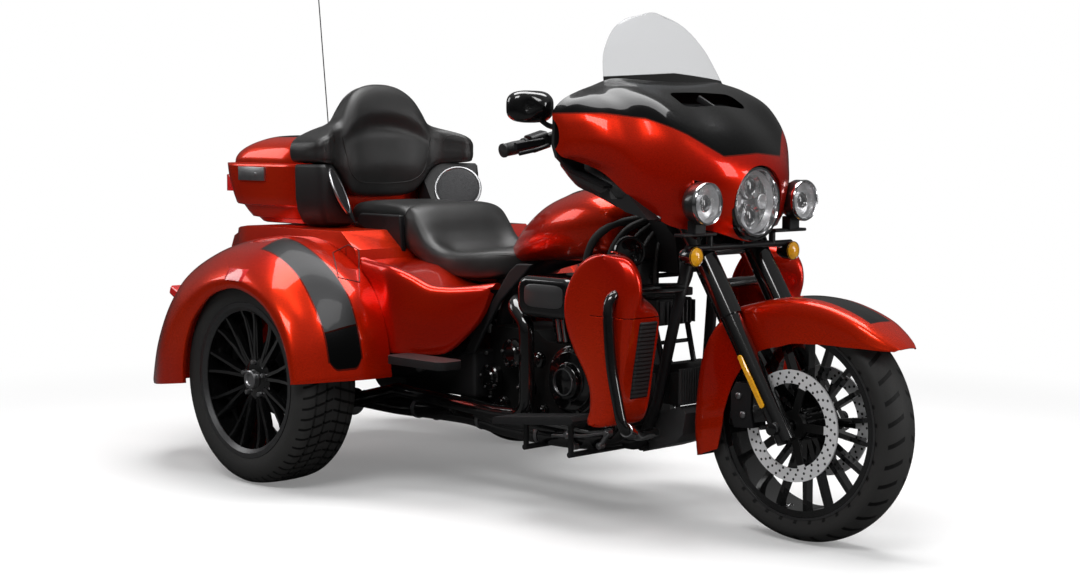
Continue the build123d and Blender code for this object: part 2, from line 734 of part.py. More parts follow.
with BuildPart() as tail_lamps:
    for side in (-1, 1):
        with BuildSketch(Plane(origin=(-1205, side * 500, 540), x_dir=(0, 1, 0), z_dir=(-1, 0, 0.35))):
            RectangleRounded(76, 44, 14)
        extrude(amount=62, taper=6)
    for side in (-1, 1):
        add(fender_solid(side, 0, 0, 0), mode=Mode.SUBTRACT)
finish(tail_lamps, "tail_lamps")

cowl_plan = [(-440, body_half), (-270, body_half), (-160, 335), (-15, 215), (-15, 180), (-440, 180)]
cowl_outline = [(-440, 722), (-300, 706), (-150, 668), (-5, 645), (-60, 530), (-140, 452), (-250, 428),
                (-440, 424)]
with BuildPart() as side_covers:
    for side in (-1, 1):
        with BuildSketch(Plane.XY.offset(400)):
            with BuildLine():
                Polyline(*[(x, side * y) for x, y in cowl_plan], close=True)
            make_face()
        extrude(amount=400)
    with BuildSketch(Plane.XY.offset(390)):
        for side in (-1, 1):
            with BuildLine():
                Polyline(*[(x, side * (y - shell * 1.3)) for x, y in cowl_plan[:4]], (-10, side * 100),
                         (-460, side * 100),
                         (-460, side * (body_half - shell)), close=True)
            make_face()
    extrude(amount=420, mode=Mode.SUBTRACT)
    with BuildSketch(side_plane(0)):
        with BuildLine():
            Polyline(*cowl_outline, close=True)
        make_face()
    extrude(amount=body_half + 5, both=True, mode=Mode.INTERSECT)
    add(frame.part, mode=Mode.SUBTRACT)
    add(rider_seat.part, mode=Mode.SUBTRACT)
    add(rear_body.part, mode=Mode.SUBTRACT)
    add(passenger_footboards.part, mode=Mode.SUBTRACT)
finish(side_covers, "side_covers")

# ------------------------------------------------------------------ luggage case, backrest, speakers, aerial
case_front_x = -835
case_split_z = 986
case_sections = [
    # height, rear x, front x, half width, corner
    (deck_z + fit_gap, -1068, case_front_x - 12, 215, 30),
    (838, -1140, case_front_x - 6, 262, 40),
    (902, -1215, case_front_x, 296, 50),
    (case_split_z - 2, -1274, case_front_x, 305, 60),
]
lid_sections = [
    (case_split_z + 2, -1274, case_front_x, 305, 60),
    (1012, -1262, case_front_x - 2, 300, 60),
    (1062, -1172, case_front_x - 14, 268, 55),
    (1082, -1110, case_front_x - 34, 225, 50),
]


def stacked(sections, inset):
    """Solid lofted through level rounded rectangles, shrunk by inset on every side."""
    with BuildPart() as stack:
        for z, back, front, half_width, corner in sections:
            with BuildSketch(Plane(origin=((back + front) / 2, 0, z), z_dir=(0, 0, 1))):
                RectangleRounded(front - back - 2 * inset, 2 * half_width - 2 * inset, corner - inset)
        loft(ruled=True)
    return stack.part


def raised(sections, low, high):
    """The same sections with the first and the last moved up by low and high."""
    first, *middle, last = sections
    return [(first[0] + low, *first[1:]), *middle, (last[0] + high, *last[1:])]


lid_axis = Vector(-1040, 305 + hinge_radius + 1.5, case_split_z)
case_hollow = stacked(raised(case_sections, shell, 4), shell)
lid_hollow = stacked(raised(lid_sections, -4, -shell), shell)
with BuildPart() as top_case_tub:
    add(stacked(case_sections, 0))
    add(case_hollow, mode=Mode.SUBTRACT)
    with BuildSketch(Plane(origin=(-1100, -298, 930), x_dir=(1, 0, 0), z_dir=(0, -1, 0))):
        with Locations((0, 22)):
            RectangleRounded(120, 26, 8)
    extrude(amount=14)
    with BuildSketch(Plane(origin=(-1220, 190, 930), z_dir=(-1, 0, 0))):
        Circle(10)
    extrude(amount=92)
    add(case_hollow, mode=Mode.SUBTRACT)
    add(hinge(lid_axis, Vector(1, 0, 0), Vector(0, -10, -8), [(-100, -60.6), (60.6, 100)], 0))
finish(top_case_tub, "top_case_tub")

with BuildPart() as top_case_lid:
    add(stacked(lid_sections, 0))
    add(lid_hollow, mode=Mode.SUBTRACT)
    add(hinge(lid_axis, Vector(1, 0, 0), Vector(0, -10, 8), [(-60, 60)], hinge_bore))
finish(top_case_lid, "top_case_lid")

with BuildPart() as case_lamps:
    with BuildSketch(Plane(origin=(0, 0, 890), z_dir=(0, 0, 1))):
        for side in (-1, 1):
            with Locations((-1262, side * 225)):
                RectangleRounded(62, 130, 26)
    extrude(amount=56)
    add(stacked(case_sections, 0), mode=Mode.SUBTRACT)
    add(top_case_tub.part, mode=Mode.SUBTRACT)
finish(case_lamps, "case_lamps")

with BuildPart() as antenna:
    with BuildSketch(Plane(origin=(-1306, 190, 938), z_dir=(0, -0.09, 1))):
        Circle(5)
    extrude(amount=24)
    with BuildSketch(Plane(origin=(-1306, 190, 938), z_dir=(0, -0.09, 1))):
        Circle(2)
    extrude(amount=700)
    add(top_case_tub.part, mode=Mode.SUBTRACT)
finish(antenna, "antenna")

backrest_half = [(0, 880), (120, 880), (165, 925), (190, 965), (200, 985), (300, 988), (336, 1000),
                 (346, 1035), (328, 1068),
                 (270, 1088), (205, 1095), (182, 1120), (152, 1185), (110, 1225), (60, 1245), (0, 1250)]
backrest_front_x = -762
with BuildPart() as backrest:
    with BuildSketch(Plane(origin=(case_front_x + fit_gap, 0, 0), x_dir=(0, 1, 0), z_dir=(1, 0, 0))):
        with BuildLine():
            Polyline(*backrest_half, *[(-y, z) for y, z in reversed(backrest_half[1:-1])], close=True)
        make_face()
    extrude(amount=backrest_front_x - case_front_x)
    for side in (-1, 1):
        with BuildSketch(Plane(origin=(backrest_front_x - 5, 0, 0), x_dir=(0, 1, 0), z_dir=(1, 0, 0))):
            with BuildLine():
                Polyline((side * 344, 1004), (side * 286, 990), (side * 286, 1082), (side * 332, 1070),
                         close=True)
            make_face()
        extrude(amount=80)
    add(top_case_tub.part, mode=Mode.SUBTRACT)
    add(top_case_lid.part, mode=Mode.SUBTRACT)
finish(backrest, "backrest")

pod_y = 260
pod_radius = 86
pod_z = 905
with BuildPart() as speaker_pods:
    for side in (-1, 1):
        with BuildSketch(Plane(origin=(case_front_x + fit_gap, side * pod_y, 0), x_dir=(0, 1, 0),
                               z_dir=(1, 0, 0))):
            with Locations((0, pod_z)):
                Circle(pod_radius)
            with Locations((0, (deck_z + pod_z) / 2)):
                Rectangle(1.75 * pod_radius, pod_z - deck_z - 2 * fit_gap)
        extrude(amount=175)
    add(top_case_tub.part, mode=Mode.SUBTRACT)
    add(backrest.part, mode=Mode.SUBTRACT)
finish(speaker_pods, "speaker_pods")

# ------------------------------------------------------------------ steering: fork, bars, fairing
slider_radius = 28
fork_tube_radius = 35
fork_joint_z = 600
fork_top_z = 968
clamp_gap = 5
fork_line = Vector(fork_x(fork_top_z) - fork_x(front_axle_z), 0, fork_top_z - front_axle_z).normalized()


def fork_point(z, y):
    """Point on a fork leg's centre line."""
    return Vector(fork_x(z), y, z)


with BuildPart() as fork:
    for side in (-1, 1):
        y = side * fork_spread
        low = fork_point(front_axle_z - 34, y)
        joint = fork_point(fork_joint_z, y)
        top = fork_point(fork_top_z, y)
        with BuildSketch(Plane(origin=low, z_dir=fork_line)):
            Circle(slider_radius)
        extrude(amount=(joint - low).length)
        with BuildSketch(Plane(origin=joint, z_dir=fork_line)):
            Circle(fork_tube_radius)
        extrude(amount=(top - joint).length)
        # bracket for the brake caliper behind the leg
        with BuildSketch(side_plane(side * 92)):
            with BuildLine():
                Polyline((902, 318), (985, 335), (975, 400), (902, 402), close=True)
            make_face()
        extrude(amount=-side * 14)
    with BuildSketch(Plane(origin=neck_low - steering_axis * clamp_gap, z_dir=steering_axis)):
        RectangleRounded(76, 290, 30)
    extrude(amount=-34)
    with BuildSketch(Plane(origin=neck_high + steering_axis * clamp_gap, z_dir=steering_axis)):
        RectangleRounded(116, 290, 30)
    extrude(amount=30)
    with BuildSketch(Plane(origin=neck_low - steering_axis * (clamp_gap + 20), z_dir=steering_axis)):
        Circle(stem_radius)
    extrude(amount=(neck_high - neck_low).length + 2 * clamp_gap + 45)
    with BuildSketch(Plane(origin=(front_axle_x, 0, front_axle_z), z_dir=(0, 1, 0))):
        Circle(axle_radius)
    extrude(amount=fork_spread + 32, both=True)
finish(fork, "fork")

disc_clearance = 5
with BuildPart() as calipers:
    for side in (-1, 1):
        with BuildSketch(side_plane(side * 54)):
            with BuildLine():
                Polyline((846, 300), (912, 305), (902, 350), (906, 424), (850, 424), (834, 396), (834, 330),
                         close=True)
            make_face()
        extrude(amount=-side * 58)
        with BuildSketch(Plane(origin=(front_axle_x, side * (disc_y - disc_width / 2 - disc_clearance),
                                       front_axle_z),
                               z_dir=(0, side, 0))):
            Circle(disc_radius + disc_clearance)
        extrude(amount=disc_width + 2 * disc_clearance, mode=Mode.SUBTRACT)
    add(fork.part, mode=Mode.SUBTRACT)
finish(calipers, "calipers")

crown_points = [(201, 356), (187, 345), (174, 340), (155, 354), (139, 367), (125, 364), (113, 349),
                (96, 340), (79, 345),
                (63, 356), (46.7, 374), (37, 388)]
fender_half = 84
fender_edge = 34                 # rounding of the crown into the sides
nose_length = 120
skirt = [(front_end_x + 5, 546), (1265, 544), (1140, 545), (978, 529), (884, 497), (843, 454), (800, 370),
         (780, 290),
         (766, 204)]


def front_fender_solid(inset):
    """Front fender's closed body, shrunk by inset, with a round nose in plan."""
    with BuildPart() as body:
        with BuildSketch(side_plane(0)):
            with BuildLine():
                crown = Spline(*[polar(front_axle_x, front_axle_z, r - inset, a) for a, r in crown_points])
                Polyline(crown @ 1, (front_end_x + 30, 540), (front_axle_x, front_axle_z - 60), (780, 150),
                         crown @ 0)
            make_face()
        extrude(amount=fender_half - inset, both=True)
        fillet(body.edges().filter_by(GeomType.BSPLINE), radius=fender_edge - inset)
        with BuildSketch(Plane.XY):
            with BuildLine():
                nose = [(front_end_x - nose_length + (nose_length - inset) * cos(radians(a)),
                         (fender_half - inset) * sin(radians(a))) for a in range(-90, 91, 15)]
                Polyline(*nose, (600, fender_half - inset), (600, inset - fender_half), close=True)
            make_face()
        extrude(amount=900, mode=Mode.INTERSECT)
    return body.part


with BuildPart() as front_fender:
    add(front_fender_solid(0))
    add(front_fender_solid(shell), mode=Mode.SUBTRACT)
    with BuildSketch(side_plane(0)):
        with BuildLine():
            Polyline(*skirt, (640, 194), (640, 100), (front_axle_x, 100), (front_end_x + 60, 400), close=True)
        make_face()
    extrude(amount=fender_half + 5, both=True, mode=Mode.SUBTRACT)
    add(fork.part, mode=Mode.SUBTRACT)
finish(front_fender, "front_fender")

grip_end_y = 455
bar_route = [(590, 0, 1040), (572, 110, 1048), (440, 235, 1088), (330, 285, 1086), (304, 370, 1058),
             (296, grip_end_y, 1042)]
with BuildPart() as handlebar:
    add(tube(bar_route, 13, 30))
    add(tube(mirrored(bar_route), 13, 30))
    for side in (-1, 1):
        grip = Plane(origin=(303.5, side * 372, 1057.5), z_dir=(-8, side * 85, -16))
        with BuildSketch(grip):
            Circle(18)
        extrude(amount=84)
        with BuildSketch(Plane(origin=(322, side * 318, 1075), z_dir=(-26, side * 85, -28))):
            RectangleRounded(48, 54, 12)
        extrude(amount=50)
        with BuildSketch(Plane(origin=(596, side * 45, 925), z_dir=(0, 0, 1))):
            RectangleRounded(34, 28, 8)
        extrude(amount=123)
        # brake and clutch levers in front of the grips
        with BuildSketch(Plane(origin=(352, side * 330, 1070), z_dir=(-14, side * 110, -16))):
            RectangleRounded(22, 14, 5)
        extrude(amount=118)
        with BuildSketch(Plane(origin=(340, side * 340, 1070), z_dir=(0, 0, 1))):
            RectangleRounded(50, 26, 8)
        extrude(amount=12, both=True)
    add(fork.part, mode=Mode.SUBTRACT)
finish(handlebar, "handlebar")

fairing_ribs = [
    # y, then the outer surface from the windshield's foot to the lower edge: x and z of seven points
    (0, [(505, 1240), (600, 1222), (705, 1180), (800, 1085), (838, 985), (836, 860), (800, 800)]),
    (130, [(500, 1240), (595, 1220), (690, 1176), (780, 1082), (815, 985), (803, 880), (770, 832)]),
    (230, [(490, 1236), (575, 1212), (665, 1166), (732, 1082), (748, 985), (735, 895), (712, 846)]),
    (300, [(478, 1214), (550, 1194), (625, 1150), (668, 1075), (678, 995), (660, 935), (620, 905)]),
    (380, [(458, 1180), (510, 1168), (562, 1132), (588, 1075), (586, 1036), (560, 1000), (504, 994)]),
    (415, [(450, 1150), (475, 1140), (500, 1118), (512, 1085), (511, 1065), (500, 1046), (480, 1032)]),
]
fairing_wall = 6


def fairing_solid(back, drop, rear_x):
    """Closed body behind the outer surface; back moves the surface rearwards, drop lowers it, rear_x ends it."""
    stations = [(-y, rib) for y, rib in reversed(fairing_ribs[1:])] + fairing_ribs
    with BuildPart() as body:
        for y, rib in stations:
            with BuildSketch(side_plane(y)):
                with BuildLine():
                    Polyline(*[(x - back, z - drop) for x, z in rib],
                             (rear_x or rib[-1][0] - back - 40, rib[-1][1] - drop),
                             (rear_x or rib[0][0] - back - 6, rib[0][1] - drop - (0 if rear_x else 60)),
                             close=True)
                make_face()
        loft(ruled=True)
    return body.part


lamp_y = 209
lamp_z = 906
lamp_radius = 58
lamp_bar_x = 772
lamp_bar_z = 785
headlamp_x = 819
headlamp_z = 906
headlamp_radius = 98
fairing_block = fairing_solid(0, 0, None)
with BuildPart() as outer_fairing:
    add(fairing_block)
    add(fairing_solid(fairing_wall, fairing_wall, None), mode=Mode.SUBTRACT)
    with BuildSketch(Plane(origin=(600, 0, headlamp_z), z_dir=(1, 0, 0))):
        Circle(headlamp_radius + fit_gap)
    extrude(amount=300, mode=Mode.SUBTRACT)
    for side in (-1, 1):
        with BuildSketch(Plane(origin=(757, side * lamp_y, lamp_z), z_dir=(1, 0, 0))):
            Circle(lamp_radius + 3)
        extrude(amount=120, mode=Mode.SUBTRACT)
finish(outer_fairing, "outer_fairing")

# dash behind the outer fairing: a panel from side to side with gauges and speakers, cut for the bars
dash_envelope = fairing_solid(fairing_wall + fit_gap, fairing_wall + fit_gap, 440)
with BuildPart() as dash:
    with BuildSketch(side_plane(0)):
        with BuildLine():
            Polyline((506, 1240), (492, 1206), (460, 1150), (456, 1060), (484, 992), (570, 950), (566, 942),
                     (476, 984),
                     (446, 1056), (450, 1154), (478, 1240), close=True)
        make_face()
    extrude(amount=420, both=True)
    for y, z, radius in ((-250, 1115, 52), (250, 1115, 52), (-62, 1140, 40), (62, 1140, 40)):
        with BuildSketch(Plane(origin=(462, y, z), z_dir=(-1, 0, 0))):
            Circle(radius)
        extrude(amount=26)
    add(dash_envelope, mode=Mode.INTERSECT)
    for side in (-1, 1):
        with BuildSketch(Plane(origin=(400, side * 262, 1055), z_dir=(1, 0, 0))):
            RectangleRounded(90, 60, 24)
        extrude(amount=80, mode=Mode.SUBTRACT)

dash_core = dash.part
with BuildPart() as inner_fairing:
    for side in (-1, 1):
        # deflector under each wing
        with BuildSketch(side_plane(side * 262)):
            with BuildLine():
                Polyline((460, 1026), (492, 1012), (560, 978), (628, 930), (705, 862), (622, 880),
                         (540, 918), (474, 958),
                         close=True)
            make_face()
        extrude(amount=-side * 46)
    add(fairing_block, mode=Mode.SUBTRACT)
    add(dash_core)
    # stay between the fork's upper clamp and the dash
    with BuildSketch(Plane(origin=(430, 0, 1000), x_dir=(0, 1, 0), z_dir=(1, 0, 0))):
        Rectangle(60, 14)
    extrude(amount=190)
    add(handlebar.part, mode=Mode.SUBTRACT)
    add(fork.part, mode=Mode.SUBTRACT)
finish(inner_fairing, "inner_fairing")

windshield_ribs = [
    # height, x at the middle, x at the edge, half width
    (1218, 541, 500, 262),
    (1243, 528, 488, 255),
    (1310, 496, 462, 232),
    (1380, 462, 438, 180),
    (1437, 434, 428, 70),
]
screen_thickness = 4
with BuildPart() as windshield:
    for z, middle_x, edge_x, half_width in windshield_ribs:
        with BuildSketch(Plane(origin=(0, 0, z), z_dir=(0, 0, 1))):
            with BuildLine():
                ThreePointArc((edge_x, -half_width), (middle_x, 0), (edge_x, half_width))
                Line((edge_x, half_width), (edge_x - screen_thickness, half_width))
                ThreePointArc((edge_x - screen_thickness, half_width), (middle_x - screen_thickness, 0),
                              (edge_x - screen_thickness, -half_width))
                Line((edge_x - screen_thickness, -half_width), (edge_x, -half_width))
            make_face()
    loft(ruled=True)
    add(fairing_block, mode=Mode.SUBTRACT)
finish(windshield, "windshield")

with BuildPart() as headlamp:
    with BuildSketch(Plane(origin=(760, 0, headlamp_z), z_dir=(1, 0, 0))):
        Circle(headlamp_radius - 14)
    extrude(amount=headlamp_x - 760 - 20)
    with BuildSketch(Plane(origin=(headlamp_x - 26, 0, headlamp_z), z_dir=(1, 0, 0))):
        Circle(headlamp_radius)
    extrude(amount=26)
    with BuildSketch(Plane(origin=(headlamp_x, 0, headlamp_z), z_dir=(1, 0, 0))):
        Circle(headlamp_radius)
        Circle(headlamp_radius - 9, mode=Mode.SUBTRACT)
    extrude(amount=12)
    add(fork.part, mode=Mode.SUBTRACT)
finish(headlamp, "headlamp")

with BuildPart() as passing_lamps:
    for side in (-1, 1):
        for x, radius, depth in ((828, lamp_radius, 34), (794, 0.86 * lamp_radius, 18),
                                 (776, 0.62 * lamp_radius, 16)):
            with BuildSketch(Plane(origin=(x, side * lamp_y, lamp_z), z_dir=(-1, 0, 0))):
                Circle(radius)
            extrude(amount=depth)
        with BuildSketch(Plane(origin=(lamp_bar_x, side * lamp_y, lamp_bar_z), z_dir=(0, 0, 1))):
            Circle(10)
        extrude(amount=lamp_z - lamp_bar_z)
        with BuildSketch(Plane(origin=(lamp_bar_x, side * fork_spread, lamp_bar_z), z_dir=(-1, 0, 0))):
            Circle(10)
        extrude(amount=50)
    with BuildSketch(Plane(origin=(lamp_bar_x, 0, lamp_bar_z), z_dir=(0, 1, 0))):
        Circle(11)
    extrude(amount=lamp_y + 11, both=True)
    with BuildSketch(Plane(origin=(lamp_bar_x, 0, lamp_bar_z), z_dir=(0, 0, 1))):
        Circle(9)
    extrude(amount=50)
    add(fork.part, mode=Mode.SUBTRACT)
    add(headlamp.part, mode=Mode.SUBTRACT)
finish(passing_lamps, "passing_lamps")

with BuildPart() as turn_signals:
    for side in (-1, 1):
        with BuildSketch(Plane(origin=(774, side * lamp_y, 763), z_dir=(-1, 0, 0))):
            Circle(32)
        extrude(amount=34)
        with BuildSketch(Plane(origin=(740, side * lamp_y, 763), z_dir=(-1, 0, 0))):
            Circle(22)
        extrude(amount=14)
    add(passing_lamps.part, mode=Mode.SUBTRACT)
finish(turn_signals, "turn_signals")

with BuildPart() as mirrors:
    for side in (-1, 1):
        with BuildSketch(Plane(origin=(368, side * 406, 1164), x_dir=(0, 1, 0), z_dir=(-1, 0, 0))):
            Ellipse(56, 46)
        extrude(amount=16)
        for x, width, height in ((368, 54, 44), (380, 46, 36), (392, 32, 24)):
            with BuildSketch(Plane(origin=(x, side * 406, 1164), x_dir=(0, 1, 0), z_dir=(1, 0, 0))):
                Ellipse(width, height)
            extrude(amount=12)
        add(tube([(372, side * 396, 1136), (420, side * 390, 1112), (490, side * 384, 1100)], 8, 10))
    add(fairing_block, mode=Mode.SUBTRACT)
    add(inner_fairing.part, mode=Mode.SUBTRACT)
finish(mirrors, "mirrors")
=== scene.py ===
import math

import bmesh
import bpy
from mathutils import Matrix, Vector


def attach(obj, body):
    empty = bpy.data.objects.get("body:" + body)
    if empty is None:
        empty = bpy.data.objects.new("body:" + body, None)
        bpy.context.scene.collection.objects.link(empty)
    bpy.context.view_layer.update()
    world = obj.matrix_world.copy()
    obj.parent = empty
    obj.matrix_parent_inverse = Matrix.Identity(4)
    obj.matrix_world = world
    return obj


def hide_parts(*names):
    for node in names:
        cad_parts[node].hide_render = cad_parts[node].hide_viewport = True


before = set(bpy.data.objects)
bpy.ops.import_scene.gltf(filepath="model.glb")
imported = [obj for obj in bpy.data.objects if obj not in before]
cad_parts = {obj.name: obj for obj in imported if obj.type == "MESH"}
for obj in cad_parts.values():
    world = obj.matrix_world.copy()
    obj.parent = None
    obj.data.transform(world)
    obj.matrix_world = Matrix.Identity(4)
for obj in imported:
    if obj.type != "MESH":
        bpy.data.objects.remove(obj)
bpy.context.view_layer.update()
bpy.ops.object.select_all(action="DESELECT")

# ------------------------------------------------------------------ studio
# A pale floor and five soft boxes. The camera stands in front of the right
# corner of the machine, a little above axle height.
floor_size = 60.0
floor_tone = 0.45               # its tone as a lit surface
floor_shown = 0.92              # its tone straight to the camera
floor_seen = 0.05               # its tone in the paint's reflections
floor_glow = 0.20               # how much of it is plain white near the machine
floor_clear = (1.9, 3.6)        # the floor fades to plain white between these distances
sky_tone = 0.17
camera_place = Vector((3.8923, -3.8184, 1.0832))
camera_azimuth = math.radians(45.706)
camera_elevation = math.radians(4.898)
camera_roll = math.radians(0.258)
camera_lens = 59.38
soft_boxes = [
    # name, place, aim, width and height, power
    ("key_box", (2.0, -3.9, 4.6), (0.1, -0.2, 0.6), (3.4, 1.6), 150),
    ("top_box", (-0.2, 0.3, 4.6), (0.0, 0.0, 0.6), (4.4, 2.6), 230),
    ("front_box", (5.4, 1.2, 2.9), (0.7, 0.0, 0.8), (1.4, 2.4), 60),
    ("strip_box", (4.4, 2.4, 1.3), (0.8, 0.0, 0.6), (0.5, 2.4), 36),
    ("rear_box", (-4.4, -2.6, 2.8), (-0.7, 0.0, 0.6), (1.8, 2.0), 36),
]


def put(socket, value):
    """Links a shade to a socket, or sets the socket to a plain value."""
    if isinstance(value, Shade):
        value.tree.links.new(value.socket, socket)
    else:
        socket.default_value = value


class Shade:
    """One socket of a material's node tree; arithmetic on it adds Math nodes."""

    def __init__(self, tree, socket=None):
        self.tree = tree
        self.socket = socket

    def node(self, kind, settings=None, out=0, **inputs):
        """Adds a node: its settings first, then its sockets by name, or by number as n0, n1."""
        made = self.tree.nodes.new("ShaderNode" + kind)
        settings = dict(settings or {})
        stops = settings.pop("stops", None)
        for name, value in settings.items():
            setattr(made, name, value)
        if stops:
            while len(made.color_ramp.elements) < len(stops):
                made.color_ramp.elements.new(1.0)
            for element, (place, colour) in zip(made.color_ramp.elements, stops):
                element.position = place
                element.color = colour
        for name, value in inputs.items():
            key = int(name[1:]) if name[0] == "n" and name[1:].isdigit() else name.replace("_", " ")
            put(made.inputs[key], value)
        return Shade(self.tree, made.outputs[out])

    def math(self, operation, *values):
        inputs = {f"n{number}": value for number, value in enumerate(values)}
        return self.node("Math", {"operation": operation}, **inputs)

    def __add__(self, other):
        return self.math("ADD", self, other)

    def __radd__(self, other):
        return self.math("ADD", other, self)

    def __sub__(self, other):
        return self.math("SUBTRACT", self, other)

    def __rsub__(self, other):
        return self.math("SUBTRACT", other, self)

    def __mul__(self, other):
        return self.math("MULTIPLY", self, other)

    def __rmul__(self, other):
        return self.math("MULTIPLY", other, self)

    def __gt__(self, other):
        return self.math("GREATER_THAN", self, other)

    def __lt__(self, other):
        return self.math("LESS_THAN", self, other)

    def __abs__(self):
        return self.math("ABSOLUTE", self)

    def ramp(self, low, high):
        """0 below low, 1 above high, straight between."""
        return self.node("MapRange", {"clamp": True}, Value=self, From_Min=low, From_Max=high)

    def noise(self, scale, detail=2.0, rough=0.5):
        return self.node("TexNoise", out="Fac", Vector=self, Scale=scale, Detail=detail, Roughness=rough)

    def cells(self, scale):
        return self.node("TexVoronoi", Vector=self, Scale=scale)

    def axis(self, name):
        return self.node("SeparateXYZ", out=name, Vector=self)

    def mix(self, low, high):
        """The colour that is low where this is 0 and high where it is 1."""
        return self.node("Mix", {"data_type": "RGBA"}, out=2, n0=self, n6=low, n7=high)

    def bump(self, strength, distance):
        return self.node("Bump", Height=self, Strength=strength, Distance=distance)


def new_finish(name):
    """A material, its principled shader, and the object coordinates its pattern reads."""
    made = bpy.data.materials.new(name)
    made.use_nodes = True
    shader = made.node_tree.nodes["Principled BSDF"]
    place = Shade(made.node_tree).node("TexCoord", out="Object")
    return made, shader, place


def feed(shader, **sockets):
    for name, value in sockets.items():
        put(shader.inputs[name.replace("_", " ")], value)


bpy.context.scene.view_settings.view_transform = "Standard"

bpy.ops.mesh.primitive_plane_add(size=floor_size)
floor = bpy.context.object
floor.name = "studio_floor"
floor_finish, floor_shader, place = new_finish("pale_floor")
camera_ray = place.node("LightPath", out="Is Camera Ray")
glossy_ray = place.node("LightPath", out="Is Glossy Ray")
lit_tone = glossy_ray.mix((floor_tone,) * 3 + (1,), (floor_seen,) * 3 + (1,))
feed(floor_shader, Base_Color=camera_ray.mix(lit_tone, (floor_shown,) * 3 + (1,)), Roughness=0.9)
reach = place.node("VectorMath", {"operation": "LENGTH"}, out="Value", n0=place)
fade = reach.node("MapRange", {"interpolation_type": "SMOOTHSTEP"}, Value=reach, From_Min=floor_clear[0],
                  From_Max=floor_clear[1], To_Min=floor_glow, To_Max=1.0)
white = place.node("Emission", Color=(1, 1, 1, 1), Strength=1.0)
lit = Shade(place.tree, floor_shader.outputs[0])
floor_mix = place.node("MixShader", n0=camera_ray * fade, n1=lit, n2=white)
put(place.tree.nodes["Material Output"].inputs["Surface"], floor_mix)
floor.data.materials.append(floor_finish)

sky = bpy.data.worlds.new("studio_sky")
sky.use_nodes = True
bpy.context.scene.world = sky
sky_shade = Shade(sky.node_tree)
from_camera, glossy, through = (sky_shade.node("LightPath", out=f"Is {kind} Ray")
                                for kind in ("Camera", "Glossy", "Transmission"))
seen = sky_shade.math("MINIMUM", from_camera + through, 1.0)
height = sky_shade.node("TexCoord", out="Generated").axis("Z")
gloss_tone = height.ramp(0.0, 0.9) * 0.22 + 0.03
strength = seen + (1.0 - seen) * (glossy * gloss_tone + (1.0 - glossy) * sky_tone)
feed(sky.node_tree.nodes["Background"], Strength=strength, Color=(1, 1, 1, 1))

for name, place, aim, size, power in soft_boxes:
    bpy.ops.object.light_add(type="AREA", location=place)
    lamp = bpy.context.object
    lamp.name = name
    lamp.data.shape = "RECTANGLE"
    lamp.data.size, lamp.data.size_y = size
    lamp.data.energy = power
    lamp.rotation_euler = (Vector(aim) - Vector(place)).to_track_quat("-Z", "Y").to_euler()

camera_back = Vector((math.sin(camera_azimuth) * math.cos(camera_elevation),
                      -math.cos(camera_azimuth) * math.cos(camera_elevation), math.sin(camera_elevation)))
camera_right = Vector((math.cos(camera_azimuth), math.sin(camera_azimuth), 0))
camera_up = camera_back.cross(camera_right)
rolled_right = camera_right * math.cos(camera_roll) + camera_up * math.sin(camera_roll)
camera_turn = Matrix((rolled_right, camera_back.cross(rolled_right), camera_back)).transposed().to_4x4()
bpy.ops.object.camera_add()
camera = bpy.context.object
camera.data.lens = camera_lens
camera.matrix_world = Matrix.Translation(camera_place) @ camera_turn
bpy.context.scene.camera = camera

# ------------------------------------------------------------------ painted and cast metal
# Candy paint: a red flake base under clear lacquer. Black parts are lacquered,
# powder coated or cast, and each keeps its own grain.
candy_deep = (0.52, 0.007, 0.0004, 1)
candy_bright = (0.78, 0.034, 0.0008, 1)
candy_metal = 0.66
band_black = (0.0026, 0.0026, 0.0028, 1)
panel_black = (0.004, 0.004, 0.0044, 1)
pin_red = (0.20, 0.010, 0.003, 1)


def candy_red(place):
    """The red of the paint, a little cloudy as candy coats are."""
    return place.noise(1.6, 2.0).ramp(0.3, 0.7).mix(candy_deep, candy_bright)


def lacquered(shader, flake, colour, metal=candy_metal, duller=0.0, **other):
    """Colour and flake under clear lacquer; duller adds to the roughness."""
    look = {"Normal": flake.bump(0.04, 0.0004), "Coat_Weight": 1.0, "Coat_Roughness": 0.05, "Coat_IOR": 1.34,
            "Specular_IOR_Level": 0.1, "Roughness": flake.ramp(0.3, 0.7) * 0.08 + 0.24 + duller, **other}
    feed(shader, Base_Color=colour, Metallic=metal, **look)


def new_paint(name):
    """A finish for lacquered(): the material, its shader, its coordinates and its flake."""
    made, shader, place = new_finish(name)
    return made, shader, place, place.noise(900.0, 1.0)


def plain(name, tones, rough, noise=None, cells=None, relief=None, **other):
    """A finish whose colour, roughness and relief follow one pattern over the surface.

    tones are its two colours, rough is the roughness at the pattern's 0 and what the pattern adds.
    """
    made, shader, place = new_finish(name)
    pattern = place.noise(*noise) if noise else place.cells(cells)
    if relief:
        other["Normal"] = pattern.bump(*relief)
    feed(shader, Base_Color=pattern.mix(*[tone + (1,) for tone in tones]),
         Roughness=pattern * rough[1] + rough[0], **other)
    return made


